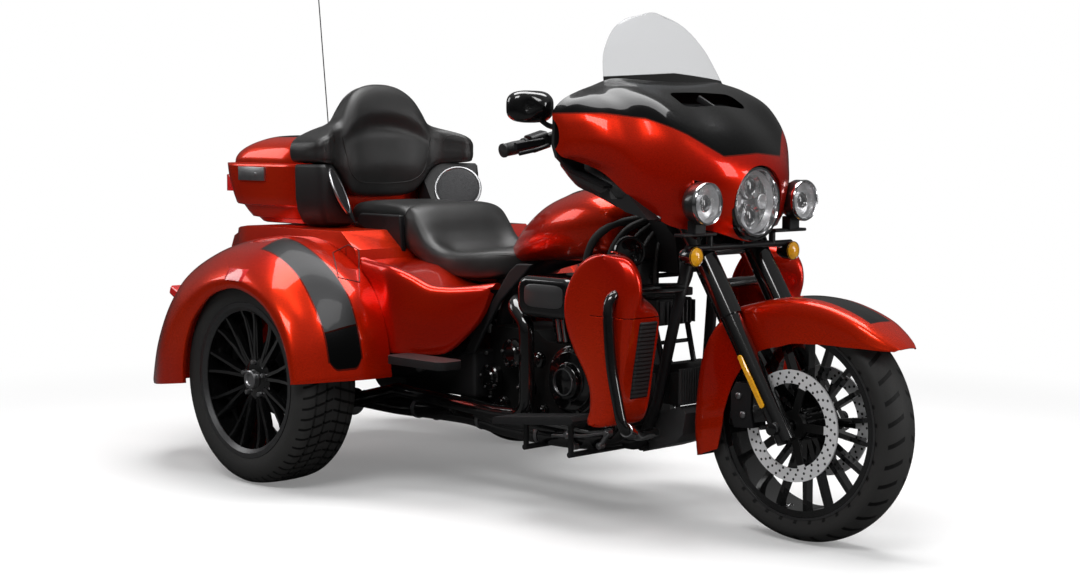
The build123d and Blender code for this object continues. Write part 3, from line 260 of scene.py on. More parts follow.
candy, candy_shader, place, flake = new_paint("candy_paint")
lacquered(candy_shader, flake, candy_red(place), flake.ramp(0.35, 0.65) * 0.10 + candy_metal)
gloss_black = plain("gloss_black", ((0.0024, 0.0024, 0.0026), (0.0036, 0.0036, 0.0038)), (0.10, 0.06),
                    noise=(60.0, 2.0), relief=(0.03, 0.0006), Coat_Weight=1.0, Coat_Roughness=0.03)
cast_black = plain("cast_black", ((0.005, 0.005, 0.005), (0.011, 0.011, 0.011)), (0.48, 0.18),
                   noise=(260.0, 4.0, 0.65), relief=(0.35, 0.0006), Metallic=0.35)
# Dark red for the flank's pressed line: painted shade of the crease.
crease_shade_red = plain("crease_shade_red", ((0.045, 0.002, 0.001), (0.080, 0.004, 0.001)), (0.4, 0.1), noise=(200.0,))
satin_grey = plain("satin_grey", ((0.034, 0.034, 0.035), (0.050, 0.050, 0.051)), (0.30, 0.1),
                   noise=(300.0, 3.0), Metallic=0.3, Coat_Weight=0.3, Coat_Roughness=0.25)
chrome = plain("bright_chrome", ((0.60, 0.60, 0.61), (0.72, 0.72, 0.73)), (0.06, 0.08), noise=(30.0, 3.0),
               Metallic=1.0)
moulded = plain("moulded_black", ((0.008, 0.008, 0.0085), (0.014, 0.014, 0.015)), (0.42, 0.12), cells=700.0,
                relief=(0.18, 0.0004), Specular_IOR_Level=0.35)
red_lens = plain("red_lens", ((0.50, 0.006, 0.006), (0.72, 0.02, 0.02)), (0.12, 0.1), cells=160.0,
                 relief=(0.15, 0.001), Coat_Weight=1.0)
amber_lens = plain("amber_lens", ((0.66, 0.27, 0.004), (0.88, 0.44, 0.010)), (0.12, 0.1), cells=150.0,
                   relief=(0.15, 0.001), Coat_Weight=1.0)

satin_black, satin_shader, place = new_finish("satin_black")
grain = place.noise(420.0, 3.0)
worn = place.noise(9.0, 3.0)
feed(satin_shader, Base_Color=worn.mix((0.006, 0.006, 0.0065, 1), (0.010, 0.010, 0.011, 1)),
     Roughness=worn.ramp(0.3, 0.7) * 0.14 + 0.34, Specular_IOR_Level=0.35, Normal=grain.bump(0.12, 0.0004))

steel, steel_shader, place = new_finish("brushed_steel")
brush = place.node("Mapping", Vector=place, Scale=(30.0, 600.0, 30.0)).noise(1.0, 2.0)
feed(steel_shader, Base_Color=brush.mix((0.36, 0.36, 0.37, 1), (0.50, 0.50, 0.51, 1)),
     Metallic=1.0, Roughness=brush * 0.15 + 0.28, Normal=brush.bump(0.06, 0.0003))

rubber, rubber_shader, place = new_finish("hose_rubber")
grain = place.noise(180.0, 4.0, 0.6)
dust = place.noise(5.0, 3.0)
feed(rubber_shader, Base_Color=dust.mix((0.018, 0.018, 0.018, 1), (0.032, 0.031, 0.030, 1)),
     Roughness=grain * 0.2 + 0.55, Specular_IOR_Level=0.25, Normal=grain.bump(0.2, 0.0005))

leather, leather_shader, place = new_finish("black_leather")
pebble = place.node("TexVoronoi", {"feature": "DISTANCE_TO_EDGE"}, Vector=place, Scale=330.0)
crease = place.noise(14.0, 4.0, 0.6)
feed(leather_shader, Base_Color=crease.mix((0.009, 0.009, 0.009, 1), (0.020, 0.0195, 0.0195, 1)),
     Roughness=crease * 0.16 + 0.30, Specular_IOR_Level=0.55,
     Normal=(pebble.ramp(0.0, 0.12) + crease * 0.6).bump(0.22, 0.0008))


def dress(finish, *nodes):
    """Gives CAD nodes one finish all over."""
    for node in nodes:
        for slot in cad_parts[node].material_slots:
            slot.material = finish


dress(satin_black, "frame", "rear_axle", "handlebar")
dress(gloss_black, "fork", "exhaust", "mufflers", "front_rim")
dress(moulded, "inner_fairing", "antenna")
dress(red_lens, "tail_lamps")

# ------------------------------------------------------------------ tyres
# Radial tyres with rounded shoulders. The rear pair has four ribs between
# straight grooves; the front one has slanted cuts from the crown outwards.
front_axle = Vector((1.010, 0, 0.3193))
rear_axle = Vector((-0.660, 0, 0.3254))
rear_wheel_y = 0.5565
sides = ((-1, "right"), (1, "left"))
quarter = math.pi / 2
sideways = (quarter, 0, 0)      # turns a part's own axis from upright to across the machine
merge_gap = 0.00005


def worked(piece):
    """Makes one piece the active and only selected one."""
    bpy.ops.object.select_all(action="DESELECT")
    piece.select_set(True)
    bpy.context.view_layer.objects.active = piece
    return piece


def finish_modifiers(piece):
    bpy.context.view_layer.objects.active = piece
    for modifier in list(piece.modifiers):
        bpy.ops.object.modifier_apply(modifier=modifier.name)


def outward(piece, angle=35):
    """Merges doubles, turns every face outwards and shades it smooth below an angle."""
    worked(piece)
    bpy.ops.object.mode_set(mode="EDIT")
    bpy.ops.mesh.select_all(action="SELECT")
    bpy.ops.mesh.remove_doubles(threshold=merge_gap)
    bpy.ops.mesh.normals_make_consistent(inside=False)
    bpy.ops.object.mode_set(mode="OBJECT")
    bpy.ops.object.shade_smooth_by_angle(angle=math.radians(angle))
    piece.select_set(False)
    return piece


def turned(name, profile, centre, segments=96, lie=sideways):
    """Spins a closed profile of (radius, along) points about a line through centre."""
    bpy.ops.mesh.primitive_circle_add(vertices=len(profile), radius=1)
    piece = bpy.context.object
    piece.name = name
    for vertex, (radius, along) in zip(piece.data.vertices, profile):
        vertex.co = (radius, 0, along)
    spin = piece.modifiers.new("spin", "SCREW")
    spin.steps = spin.render_steps = segments
    spin.use_merge_vertices = True
    spin.merge_threshold = merge_gap
    finish_modifiers(piece)
    piece.rotation_euler = lie
    piece.location = centre
    bpy.ops.object.transform_apply()
    return outward(piece)


def joined(name, pieces):
    """Joins pieces into the first one."""
    worked(pieces[0])
    for piece in pieces:
        piece.select_set(True)
    bpy.ops.object.join()
    pieces[0].name = name
    pieces[0].select_set(False)
    return pieces[0]


def fitted(piece, finish, body, angle=None):
    """Gives a piece its finish and its body; with an angle, its faces are turned outwards first."""
    if angle:
        outward(piece, angle)
    piece.data.materials.clear()
    piece.data.materials.append(finish)
    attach(piece, body)
    return piece


def both_edges(half):
    """A section from one bead over the crown to the other; half ends on the crown."""
    return half + [(radius, -out) for radius, out in reversed(half[:-1])]


def angle_round(centred):
    """The angle about a wheel's axle, from coordinates centred on it."""
    return centred.math("ARCTAN2", centred.axis("Z"), centred.axis("X"))


def tread_rubber(name, centre, cuts, slant, inner, outer, depth):
    """Rubber whose cuts run slanted from inner to outer, measured from the tyre's middle."""
    made, shader, place = new_finish(name)
    centred = place.node("Mapping", Vector=place, Location=tuple(-centre))
    across = abs(centred.axis("Y"))
    around = angle_round(centred) * (cuts / (2 * math.pi))
    wave = around.math("FRACT", around + across * slant)
    cut = (wave < 0.22) * (across > inner) * (across < outer)
    grain = place.noise(180.0, 4.0, 0.6)
    dust = place.noise(5.0, 3.0).mix((0.020, 0.020, 0.020, 1), (0.032, 0.031, 0.030, 1))
    # The cuts are painted near black: painted shade in the grooves.
    feed(shader, Base_Color=cut.mix(dust, (0.002, 0.002, 0.002, 1)), Specular_IOR_Level=0.25,
         Roughness=grain * 0.2 + 0.52, Normal=((1.0 - cut) + grain * 0.06).bump(0.9, depth))
    return made


front_section = both_edges([
    (0.247, 0.05), (0.26, 0.056), (0.276, 0.0625), (0.288, 0.064), (0.296, 0.06),
    (0.304, 0.052), (0.311, 0.04), (0.3155, 0.027), (0.3185, 0.013), (0.3192, 0.0)])
front_tyre = turned("front_tyre_moulding", front_section, front_axle, 128)
fitted(front_tyre, tread_rubber("front_tread", front_axle, 34, 9.0, 0.014, 0.058, 0.008), "front_wheel")
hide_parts("front_tyre")

rear_section = both_edges([
    (0.23, 0.092), (0.244, 0.0985), (0.262, 0.105), (0.279, 0.1068), (0.293, 0.1035), (0.306, 0.0965),
    (0.315, 0.088), (0.3195, 0.08), (0.3222, 0.066), (0.3165, 0.0645), (0.3165, 0.0575), (0.3232, 0.056),
    (0.3248, 0.03), (0.318, 0.029), (0.318, 0.0215), (0.325, 0.0205), (0.3254, 0.0)])
for side, name in sides:
    middle = rear_axle + Vector((0, side * rear_wheel_y, 0))
    tyre = turned(f"rear_tyre_moulding_{name}", rear_section, middle, 128)
    tread = tread_rubber(f"rear_tread_{name}", middle, 58, 9.0, 0.002, 0.098, 0.010)
    fitted(tyre, tread, f"rear_wheel_{name}")
    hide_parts(f"rear_tyre_{name}")

# ------------------------------------------------------------------ rear wheels
# Cast alloy, black all over but for the turned grey lip: nine split spokes
# dish in to a hub with five nuts and a bare bright cap.
bead_radius = 0.2286
lip_radius = 0.2420
wall_radius = bead_radius - 0.010
rim_half = 0.099
spoke_pairs = 9
spoke_split = math.radians(17)
spoke_width = (0.020, 0.014)    # at the hub and at the rim
spoke_depth = (0.030, 0.022)
spoke_flat = 0.55               # the flat of its outer face, as a share of its width
hub_inset = 0.040
lug_circle = 0.054
lug_count = 5


def lofted(name, rings, loop=True, caps=True):
    """Skins rings of equally many points into one mesh; loop closes each ring, caps close the ends."""
    mesh = bpy.data.meshes.new(name)
    work = bmesh.new()
    rows = [[work.verts.new(point) for point in ring] for ring in rings]
    count = len(rings[0])
    for low, high in zip(rows, rows[1:]):
        for i in range(count if loop else count - 1):
            k = (i + 1) % count
            work.faces.new((low[i], low[k], high[k], high[i]))
    if caps:
        work.faces.new(list(reversed(rows[0])))
        work.faces.new(rows[-1])
    work.normal_update()
    work.to_mesh(mesh)
    work.free()
    piece = bpy.data.objects.new(name, mesh)
    bpy.context.collection.objects.link(piece)
    return piece


def rounded(piece, width, segments=2, angle=40):
    bevel = piece.modifiers.new("rounded", "BEVEL")
    bevel.width = width
    bevel.segments = segments
    bevel.limit_method = "ANGLE"
    bevel.angle_limit = math.radians(angle)
    finish_modifiers(piece)
    return piece


def spoke(centre, angle_low, angle_high, line):
    """One spoke: line gives (radius, distance out); it turns from one angle to another."""
    rings = []
    for i, (radius, out) in enumerate(line):
        share = i / (len(line) - 1)
        angle = angle_low + (angle_high - angle_low) * share
        face = centre + Vector((math.cos(angle), 0, math.sin(angle))) * radius + Vector((0, out, 0))
        half = (spoke_width[0] + (spoke_width[1] - spoke_width[0]) * share) / 2
        cross = Vector((-math.sin(angle), 0, math.cos(angle))) * half
        thick = spoke_depth[0] + (spoke_depth[1] - spoke_depth[0]) * share
        inwards = Vector((0, -math.copysign(thick, out), 0))
        edge = [(spoke_flat, 0), (1, 0.35), (1, 1)]
        rings.append([face + cross * width + inwards * depth for width, depth in edge]
                     + [face - cross * width + inwards * depth for width, depth in reversed(edge)])
    return outward(lofted("rear_spoke", rings), 30)


turned_lip = plain("turned_grey_lip", ((0.09, 0.09, 0.092), (0.15, 0.15, 0.153)), (0.3, 0.12),
                   noise=(240.0, 2.0), relief=(0.06, 0.0003), Metallic=0.9)
barrel_section = [
    (wall_radius, -rim_half), (lip_radius, -rim_half), (lip_radius, -rim_half + 0.006),
    (bead_radius, -rim_half + 0.006), (bead_radius, rim_half - 0.006), (lip_radius, rim_half - 0.006),
    (lip_radius, rim_half), (lip_radius - 0.006, rim_half), (wall_radius - 0.002, rim_half - 0.010),
    (wall_radius, rim_half - 0.030), (wall_radius - 0.016, rim_half - 0.060),
    (wall_radius - 0.016, 0.03 - rim_half)]
lip_section = [
    (lip_radius - 0.0005, rim_half + 0.0008), (lip_radius - 0.015, rim_half + 0.0008),
    (lip_radius - 0.027, rim_half - 0.010), (lip_radius - 0.027, rim_half - 0.013),
    (lip_radius - 0.0005, rim_half - 0.003)]
hub_section = [
    (0.0205, rim_half - 0.036), (0.058, rim_half - hub_inset), (0.070, rim_half - hub_inset - 0.008),
    (0.072, rim_half - 0.090), (0.0205, rim_half - 0.105)]
cap_section = [
    (0.0001, rim_half - 0.0230), (0.0160, rim_half - 0.0235), (0.0185, rim_half - 0.0195),
    (0.0255, rim_half - 0.0190), (0.0290, rim_half - 0.0215), (0.0300, rim_half - 0.0400),
    (0.0001, rim_half - 0.0400)]
spoke_line = [(0.052, rim_half - hub_inset), (0.090, rim_half - 0.034), (0.140, rim_half - 0.030),
              (0.190, rim_half - 0.022), (wall_radius + 0.003, rim_half - 0.012)]

for side, name in sides:
    middle = rear_axle + Vector((0, side * rear_wheel_y, 0))
    barrel, lip, hub, cap = (
        turned(part, [(r, -side * y) for r, y in section], middle, segments)
        for part, section, segments in (
            ("rear_barrel", barrel_section, 96), (f"rear_rim_lip_{name}", lip_section, 96),
            ("rear_hub", hub_section, 64), ("hub_cap", cap_section, 48)))
    spokes = []
    for pair in range(spoke_pairs):
        base = 2 * math.pi * (pair + 0.25) / spoke_pairs
        for lean in (-1, 1):
            spokes.append(spoke(middle, base + lean * spoke_split * 0.25, base + lean * spoke_split * 0.5,
                                [(r, side * y) for r, y in spoke_line]))
    rim = joined(f"rear_wheel_casting_{name}", [barrel, hub] + spokes)
    nuts = []
    for number in range(lug_count):
        angle = 2 * math.pi * number / lug_count + 0.3
        seat = Vector((lug_circle * math.cos(angle), side * (rim_half - 0.036), lug_circle * math.sin(angle)))
        bpy.ops.mesh.primitive_cone_add(vertices=6, radius1=0.0088, radius2=0.0072, depth=0.014,
                                        location=middle + seat, rotation=(-side * quarter, 0, 0))
        bpy.ops.object.transform_apply()
        nuts.append(rounded(bpy.context.object, 0.0015, 2, 20))
    trim = joined(f"rear_wheel_nuts_{name}", nuts + [cap])
    fitted(rim, gloss_black, f"rear_wheel_{name}")
    fitted(lip, turned_lip, f"rear_wheel_{name}")
    fitted(trim, steel, f"rear_wheel_{name}", 35)
    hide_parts(f"rear_rim_{name}")

# ------------------------------------------------------------------ brake discs and front wheel
# Drilled stainless bands on a five-armed carrier; the black front rim keeps a
# thin turned line on its edge.
carrier_radius = 0.1065
hole_radius = 0.0036
hole_rows = ((0.118, 30, 0.0), (0.130, 30, 0.33), (0.142, 30, 0.66))   # radius, how many, shift
disc_steel, disc_shader, place = new_finish("drilled_steel")
centred = place.node("Mapping", Vector=place, Location=tuple(-front_axle))
reach = centred.math("SQRT", centred.axis("X") * centred.axis("X") + centred.axis("Z") * centred.axis("Z"))
turn = angle_round(centred)
holes = None
for radius, count, shift in hole_rows:
    cell = turn.math("FRACT", turn * (count / (2 * math.pi)) + shift) - 0.5
    along = cell * (2 * math.pi * radius / count)
    radial = reach - radius
    hole = (along * along + radial * radial) < hole_radius ** 2
    holes = hole if holes is None else holes.math("MAXIMUM", holes, hole)
brushed = place.node("CombineXYZ", X=reach * 900.0, Y=turn * 3.0).noise(1.0, 2.0)
# The carrier is black; the drilled holes are painted the same near black as painted shade inside them.
carrier_and_hole_shade = reach.math("MAXIMUM", reach < carrier_radius, holes)
bright = brushed.mix((0.66, 0.66, 0.67, 1), (0.82, 0.82, 0.83, 1))
feed(disc_shader, Base_Color=carrier_and_hole_shade.mix(bright, (0.004, 0.004, 0.004, 1)), Metallic=(1.0 - carrier_and_hole_shade) * 0.25,
     Roughness=brushed * 0.15 + 0.30, Normal=(1.0 - holes).bump(0.6, 0.001))
dress(disc_steel, "brake_discs")
edge_section = [(0.2548, 0.0535), (0.2548, 0.0552), (0.249, 0.0552), (0.249, 0.0535)]
edges = [turned("front_lip", [(r, side * y) for r, y in edge_section], front_axle) for side, name in sides]
fitted(joined("front_rim_edge", edges), turned_lip, "front_wheel")

# ------------------------------------------------------------------ front fender
# A deep pressed fender with a black band along its crown.
crown_radius = [(37, 0.388), (46.7, 0.374), (63, 0.356), (79, 0.345), (96, 0.340), (113, 0.349), (125, 0.364),
                (139, 0.367), (155, 0.354), (174, 0.340), (187, 0.345), (201, 0.356)]
skirt_radius = [(35, 0.386), (37, 0.369), (41.4, 0.34), (50, 0.293), (60, 0.26), (75, 0.232), (98.7, 0.212),
                (125, 0.218), (141, 0.214), (166, 0.216), (187, 0.232), (201, 0.262)]
fender_half = 0.084
nose_start = 1.215
nose_length = 0.120


def spline_through(points, count):
    """Evenly numbered points on a smooth curve through the given ones."""
    points = [Vector(p) for p in points]
    ends = [points[0] * 2 - points[1]] + points + [points[-1] * 2 - points[-2]]
    line = []
    spans = len(points) - 1
    for i in range(count):
        t = i * spans / (count - 1)
        k = min(int(t), spans - 1)
        line.append(on_curve(t - k, *ends[k:k + 4]))
    return line


def on_curve(u, a, b, c, d):
    """The point a share u of the way from b to c, on the smooth curve through four points."""
    bend = (2 * a - 5 * b + 4 * c - d) * u * u
    return 0.5 * (2 * b + (c - a) * u + bend + (3 * b - a - 3 * c + d) * u ** 3)


def drawn_out(ribs, along):
    """Rows of points across the ribs, with along rows spaced from the first rib to the last."""
    columns = [spline_through([rib[i] for rib in ribs], along) for i in range(len(ribs[0]))]
    return [list(row) for row in zip(*columns)]


def walled(piece, thickness, offset):
    """Gives a sheet its wall: offset -1 sets it on the inner side, 1 on the outer side."""
    sheet = piece.modifiers.new("wall", "SOLIDIFY")
    sheet.thickness = thickness
    sheet.offset = offset
    finish_modifiers(piece)
    return piece


def skin(name, ribs, across, along, wall):
    """A smooth shell through ribs of points: across gives the points on a rib, along the ribs in between."""
    rows = drawn_out([spline_through(rib, across) for rib in ribs], along)
    piece = lofted(name, rows, loop=False, caps=False)
    return walled(piece, abs(wall), -1.0 if wall > 0 else 1.0) if wall else piece


def between(table, key):
    """Straight interpolation in a table of (key, value) sorted by key."""
    for (a, p), (b, q) in zip(table, table[1:]):
        if key <= b:
            return p + (q - p) * (key - a) / (b - a)
    return table[-1][1]


ribs = []
for angle in (36.2, 38, 41, 46, 53, 63, 75, 88, 100, 113, 125, 139, 155, 174, 187, 200.5):
    low, high = between(skirt_radius, angle), between(crown_radius, angle)
    edge = min(0.034, (high - low) * 0.7)
    half_rib = [(low, 1.0), (low + (high - edge - low) * 0.5, 1.0), (high - edge, 0.995),
                (high - edge * 0.30, 0.90), (high - 0.0025, 0.62), (high - 0.0008, 0.30), (high, 0.0)]
    rib = []
    for radius, share in both_edges(half_rib):
        x = front_axle.x + radius * math.cos(math.radians(angle))
        z = front_axle.z + radius * math.sin(math.radians(angle))
        taper = math.sqrt(max(0.03, 1 - (max(0.0, x - nose_start) / nose_length) ** 2))
        rib.append((x, share * fender_half * taper, z))
    ribs.append(rib)
front_fender = skin("front_fender_pressing", ribs, 61, 97, -0.003)
fender_paint, fender_shader, place, flake = new_paint("front_fender_paint")
stripe = (abs(place.axis("Y")) < 0.043) * (place.axis("X") < 1.236)
pinline = (abs(place.axis("Y")) < 0.0455) * (place.axis("X") < 1.238) - stripe
lacquered(fender_shader, flake, pinline.mix(stripe.mix(candy_red(place), band_black), pin_red),
          stripe * (1.0 - candy_metal) + candy_metal)
fitted(front_fender, fender_paint, "steering", 50)
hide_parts("front_fender")

# ------------------------------------------------------------------ rear fenders
# Wide pressed fenders with a rolled arch lip. A satin black band on each crown
# ends in a rounded gloss panel at the front.
fender_angles = [4, 8, 25, 42, 60, 80, 97, 118, 140, 151, 162, 174, 184.5, 187]
fender_stations = [
    # distance out, crown radius in millimetres at each angle
    (0.3995, [408, 408, 418, 430, 428, 433, 438, 464, 534, 569, 600, 633, 676, 677]),
    (0.5050, [408, 408, 418, 432, 430, 435, 440, 464, 534, 569, 600, 633, 676, 677]),
    (0.6000, [356, 356, 362, 368, 385, 398, 405, 432, 482, 512, 540, 572, 600, 601]),
    (0.6600, [330, 330, 335, 345, 352, 358, 362, 380, 418, 440, 460, 482, 500, 501]),
    (0.6900, [312, 312, 318, 325, 326, 324, 324, 336, 362, 378, 396, 414, 428, 429]),
]
arch_radius = 0.286
fender_sides = []
for side, name in sides:
    ribs = []
    for i, angle in enumerate(fender_angles):
        turn = math.radians(angle)
        rib = [(radii[i] / 1000, out) for out, radii in fender_stations]
        rib += [((rib[-1][0] + arch_radius) / 2 - 0.002, 0.6948), (arch_radius + 0.006, 0.6925),
                (arch_radius, 0.6880), (arch_radius + 0.002, 0.6780)]
        ribs.append([(rear_axle.x + r * math.cos(turn), side * out, rear_axle.z + r * math.sin(turn))
                     for r, out in rib])
    fender_sides.append(skin("rear_fender_pressing", ribs, 57, 105, side * 0.003))
rear_fenders = joined("rear_fender_pressings", fender_sides)
band_middle, band_half, band_corner = 0.550, 0.042, 0.022
band_foot, panel_top, band_top = 9.5, 27.0, 88.0    # degrees round the axle
rear_paint, rear_shader, place, flake = new_paint("rear_fender_paint")
turn = place.math("ARCTAN2", place.axis("Z") - 0.3254, place.axis("X") + 0.660) * (180 / math.pi)
across = abs(abs(place.axis("Y")) - band_middle)
corner = across.ramp(band_half - band_corner, band_half)
foot = corner * corner * 4.2 + band_foot
band = (across < band_half) * (turn > foot) * (turn < band_top)
pin = (across < band_half + 0.004) * (turn > foot - 0.8) * (turn < band_top + 1.0) - band
front_panel = band * (turn < panel_top)
gap_line = band * (turn > panel_top) * (turn < panel_top + 0.7)
painted = pin.mix(band.mix(candy_red(place), (0.042, 0.042, 0.043, 1)), (0.16, 0.008, 0.002, 1))
painted = gap_line.mix(front_panel.mix(painted, panel_black), (0.02, 0.002, 0.001, 1))
lacquered(rear_shader, flake, painted, band * (1.0 - candy_metal) + candy_metal, (band - front_panel) * 0.22,
          Coat_Weight=1.0 - (band - front_panel) * 0.8)
fitted(rear_fenders, rear_paint, "chassis", 50)
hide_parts("rear_fenders")

# ------------------------------------------------------------------ rear body
# Moulded trunk and deck, painted, with rolled outer edges; a drop-down door
# closes it behind and a swept cover closes each side under the seat.
def softened(node, name, width, finish, body, segments=3):
    """A CAD node's shape with its doubles merged and its edges rolled to a radius."""
    piece = bpy.data.objects.new(name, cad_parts[node].data.copy())
    bpy.context.collection.objects.link(piece)
    worked(piece)
    bpy.ops.object.mode_set(mode="EDIT")
    bpy.ops.mesh.select_all(action="SELECT")
    bpy.ops.mesh.remove_doubles(threshold=merge_gap)
    bpy.ops.mesh.dissolve_limited(angle_limit=math.radians(0.5))
    bpy.ops.object.mode_set(mode="OBJECT")
    if piece.data.has_custom_normals:
        bpy.ops.mesh.customdata_custom_splitnormals_clear()
    rounded(piece, width, segments, 25)
    bpy.ops.object.shade_smooth_by_angle(angle=math.radians(35))
    piece.select_set(False)
    fitted(piece, finish, body)
    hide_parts(node)
    return piece


def seamed_paint(name, find_seam, seam_red):
    """Candy paint with a pressed seam where find_seam, given x and z, is 1."""
    made, shader, place, flake = new_paint(name)
    seam = find_seam(place.axis("X"), place.axis("Z"))
    lacquered(shader, flake, seam.mix(candy_red(place), seam_red),
              Normal=(flake * 0.05 - seam).bump(0.5, 0.0012))
    return made


def door_seam(x, z):
    """A leaning cut line behind the deck, up to the door's height."""
    lean = x + z * 0.08
    return (lean > -0.4195) * (lean < -0.4165) * (z < 0.735)


def handed(side, points):
    """Points given for the left, mirrored where side is -1."""
    return [(x, side * y, z) for x, y, z in points]


body_paint = seamed_paint("rear_body_paint", door_seam, (0.012, 0.001, 0.001, 1))
rear_body = softened("rear_body", "rear_body_moulding", 0.0024, body_paint, "chassis")
softened("trunk_door", "trunk_door_panel", 0.0022, candy, "trunk_lid")

cover_ribs = [
    # x, distance out, lower edge, upper edge
    (-0.445, 0.3990, 0.426, 0.712),
    (-0.400, 0.3990, 0.426, 0.702),
    (-0.330, 0.3985, 0.426, 0.692),
    (-0.270, 0.3960, 0.426, 0.685),
    (-0.215, 0.3740, 0.426, 0.664),
    (-0.165, 0.3420, 0.425, 0.634),
    (-0.128, 0.3100, 0.427, 0.628),
    (-0.098, 0.2850, 0.452, 0.629),
    (-0.060, 0.2520, 0.502, 0.634),
    (-0.035, 0.2320, 0.546, 0.638),
    (-0.014, 0.2160, 0.610, 0.641),
]
covers = []
for side, name in sides:
    ribs = []
    for x, out, low, high in cover_ribs:
        tall = high - low
        rib = [(x, out - 0.016, low), (x, out - 0.002, low + 0.006), (x, out, low + tall * 0.35),
               (x, out - 0.001, low + tall * 0.72), (x, out - 0.008, high - 0.010),
               (x - 0.004, out - 0.030, high + 0.001), (x - 0.010, out - 0.052, high - 0.004)]
        ribs.append(handed(side, rib))
    covers.append(skin("side_cover", ribs, 37, 57, side * 0.004))
side_covers = fitted(joined("side_cover_pair", covers), candy, "chassis", 45)
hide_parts("side_covers")

# ------------------------------------------------------------------ fuel tank
# Pressed steel tank with a full round crown; a black console runs along its top.
def round_ring(points, count):
    """A smooth closed ring through the points."""
    points = [Vector(p) for p in points]
    total = len(points)
    ring = []
    for i in range(count):
        t = i * total / count
        k = int(t)
        ring.append(on_curve(t - k, *(points[(k + n - 1) % total] for n in range(4))))
    return ring


def swelled(name, sections, points, along):
    """A closed round form through rings; the ends shrink to small caps."""
    return outward(lofted(name, drawn_out([round_ring(section, points) for section in sections], along)), 60)


def mirrored(x, half, outline):
    """A ring at x from one side's outline of (share of half, z)."""
    return [(x, half * s, z) for s, z in outline] + [(x, -half * s, z) for s, z in reversed(outline)]


tank_sections = [
    # x, half width, bottom, widest height, top
    (-0.100, 0.030, 0.698, 0.706, 0.722),
    (-0.094, 0.058, 0.690, 0.708, 0.742),
    (-0.020, 0.100, 0.700, 0.740, 0.815),
    (0.060, 0.128, 0.708, 0.768, 0.872),
    (0.150, 0.152, 0.715, 0.794, 0.908),
    (0.250, 0.166, 0.722, 0.816, 0.932),
    (0.330, 0.168, 0.730, 0.830, 0.937),
    (0.395, 0.158, 0.742, 0.836, 0.920),
    (0.428, 0.130, 0.765, 0.834, 0.888),
    (0.436, 0.080, 0.790, 0.834, 0.862),
]
sections = [mirrored(x, half, [(0.55, low), (0.90, low + (wide - low) * 0.35), (1.0, wide),
                               (0.90, wide + (high - wide) * 0.52), (0.58, wide + (high - wide) * 0.88),
                               (0.22, high)])
            for x, half, low, wide, high in tank_sections]
tank = fitted(swelled("fuel_tank_pressing", sections, 64, 61), candy, "chassis")
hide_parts("fuel_tank")
console_rows = [(-0.06, 0.03, 0.77), (0.0, 0.038, 0.836), (0.08, 0.044, 0.886), (0.16, 0.047, 0.915),
                (0.24, 0.046, 0.9325), (0.31, 0.042, 0.9395)]
console_edge = [(1, -0.014), (0.92, -0.001), (0.5, 0.004), (0, 0.005), (-0.5, 0.004), (-0.92, -0.001),
                (-1, -0.014)]
console = lofted("tank_console", [[(x, half * share, top + rise) for share, rise in console_edge]
                                  for x, half, top in console_rows])
fitted(rounded(console, 0.003, 2, 30), satin_black, "chassis", 40)


def drum(middle, radius, depth, lie, sides_round, bevel, segments=3):
    """A short cylinder with rolled edges, laid as lie says."""
    bpy.ops.mesh.primitive_cylinder_add(vertices=sides_round, radius=radius, depth=depth, location=middle,
                                        rotation=lie)
    bpy.ops.object.transform_apply()
    return rounded(bpy.context.object, bevel, segments, 30)


cap = drum((0.262, 0, 0.9405), 0.036, 0.012, (0, math.radians(-4), 0), 48, 0.003)
cap.name = "tank_cap"
fitted(cap, gloss_black, "chassis", 30)

# ------------------------------------------------------------------ seats
# Moulded foam under sewn black leather. The rider's seat is a deep bucket with
# a rolled rim; the passenger's is a flat pillow between the pods.
welt_radius = 0.0022
seam_radius = 0.0014


def tube_along(name, points, radius, resolution, capped):
    """A round tube along a line of points, as a mesh."""
    line = bpy.data.curves.new(name, "CURVE")
    line.dimensions = "3D"
    line.bevel_depth = radius
    line.bevel_resolution = resolution
    line.use_fill_caps = capped
    path = line.splines.new("POLY")
    path.points.add(len(points) - 1)
    for target, point in zip(path.points, points):
        target.co = (*point, 1)
    piece = bpy.data.objects.new(name, line)
    bpy.context.collection.objects.link(piece)
    worked(piece)
    bpy.ops.object.convert(target="MESH")
    return bpy.context.object


def piping(name, points, radius, finish):
    """A sewn welt: a thin round bead along points."""
    piece = tube_along(name, points, radius, 2, False)
    bpy.ops.object.shade_smooth()
    piece.select_set(False)
    return fitted(piece, finish, "chassis")


seat_rows = [
    # x, half width, bottom, side height, rim height, inner height, middle height
    (-0.4595, 0.120, 0.790, 0.800, 0.812, 0.814, 0.815),
    (-0.4540, 0.178, 0.745, 0.790, 0.840, 0.850, 0.852),
    (-0.4300, 0.198, 0.715, 0.788, 0.860, 0.869, 0.870),
    (-0.3950, 0.203, 0.698, 0.774, 0.850, 0.860, 0.862),
    (-0.3650, 0.203, 0.684, 0.752, 0.816, 0.822, 0.826),
    (-0.3350, 0.203, 0.672, 0.726, 0.774, 0.768, 0.770),
    (-0.3000, 0.202, 0.661, 0.708, 0.746, 0.728, 0.730),
    (-0.2500, 0.199, 0.648, 0.694, 0.728, 0.712, 0.714),
    (-0.1900, 0.197, 0.642, 0.688, 0.726, 0.716, 0.718),
    (-0.1300, 0.182, 0.643, 0.688, 0.730, 0.732, 0.735),
    (-0.0850, 0.154, 0.648, 0.690, 0.734, 0.742, 0.746),
    (-0.0450, 0.112, 0.662, 0.696, 0.730, 0.738, 0.742),
    (-0.0140, 0.055, 0.690, 0.704, 0.716, 0.722, 0.724),
    (-0.0020, 0.024, 0.698, 0.704, 0.708, 0.709, 0.710),
]
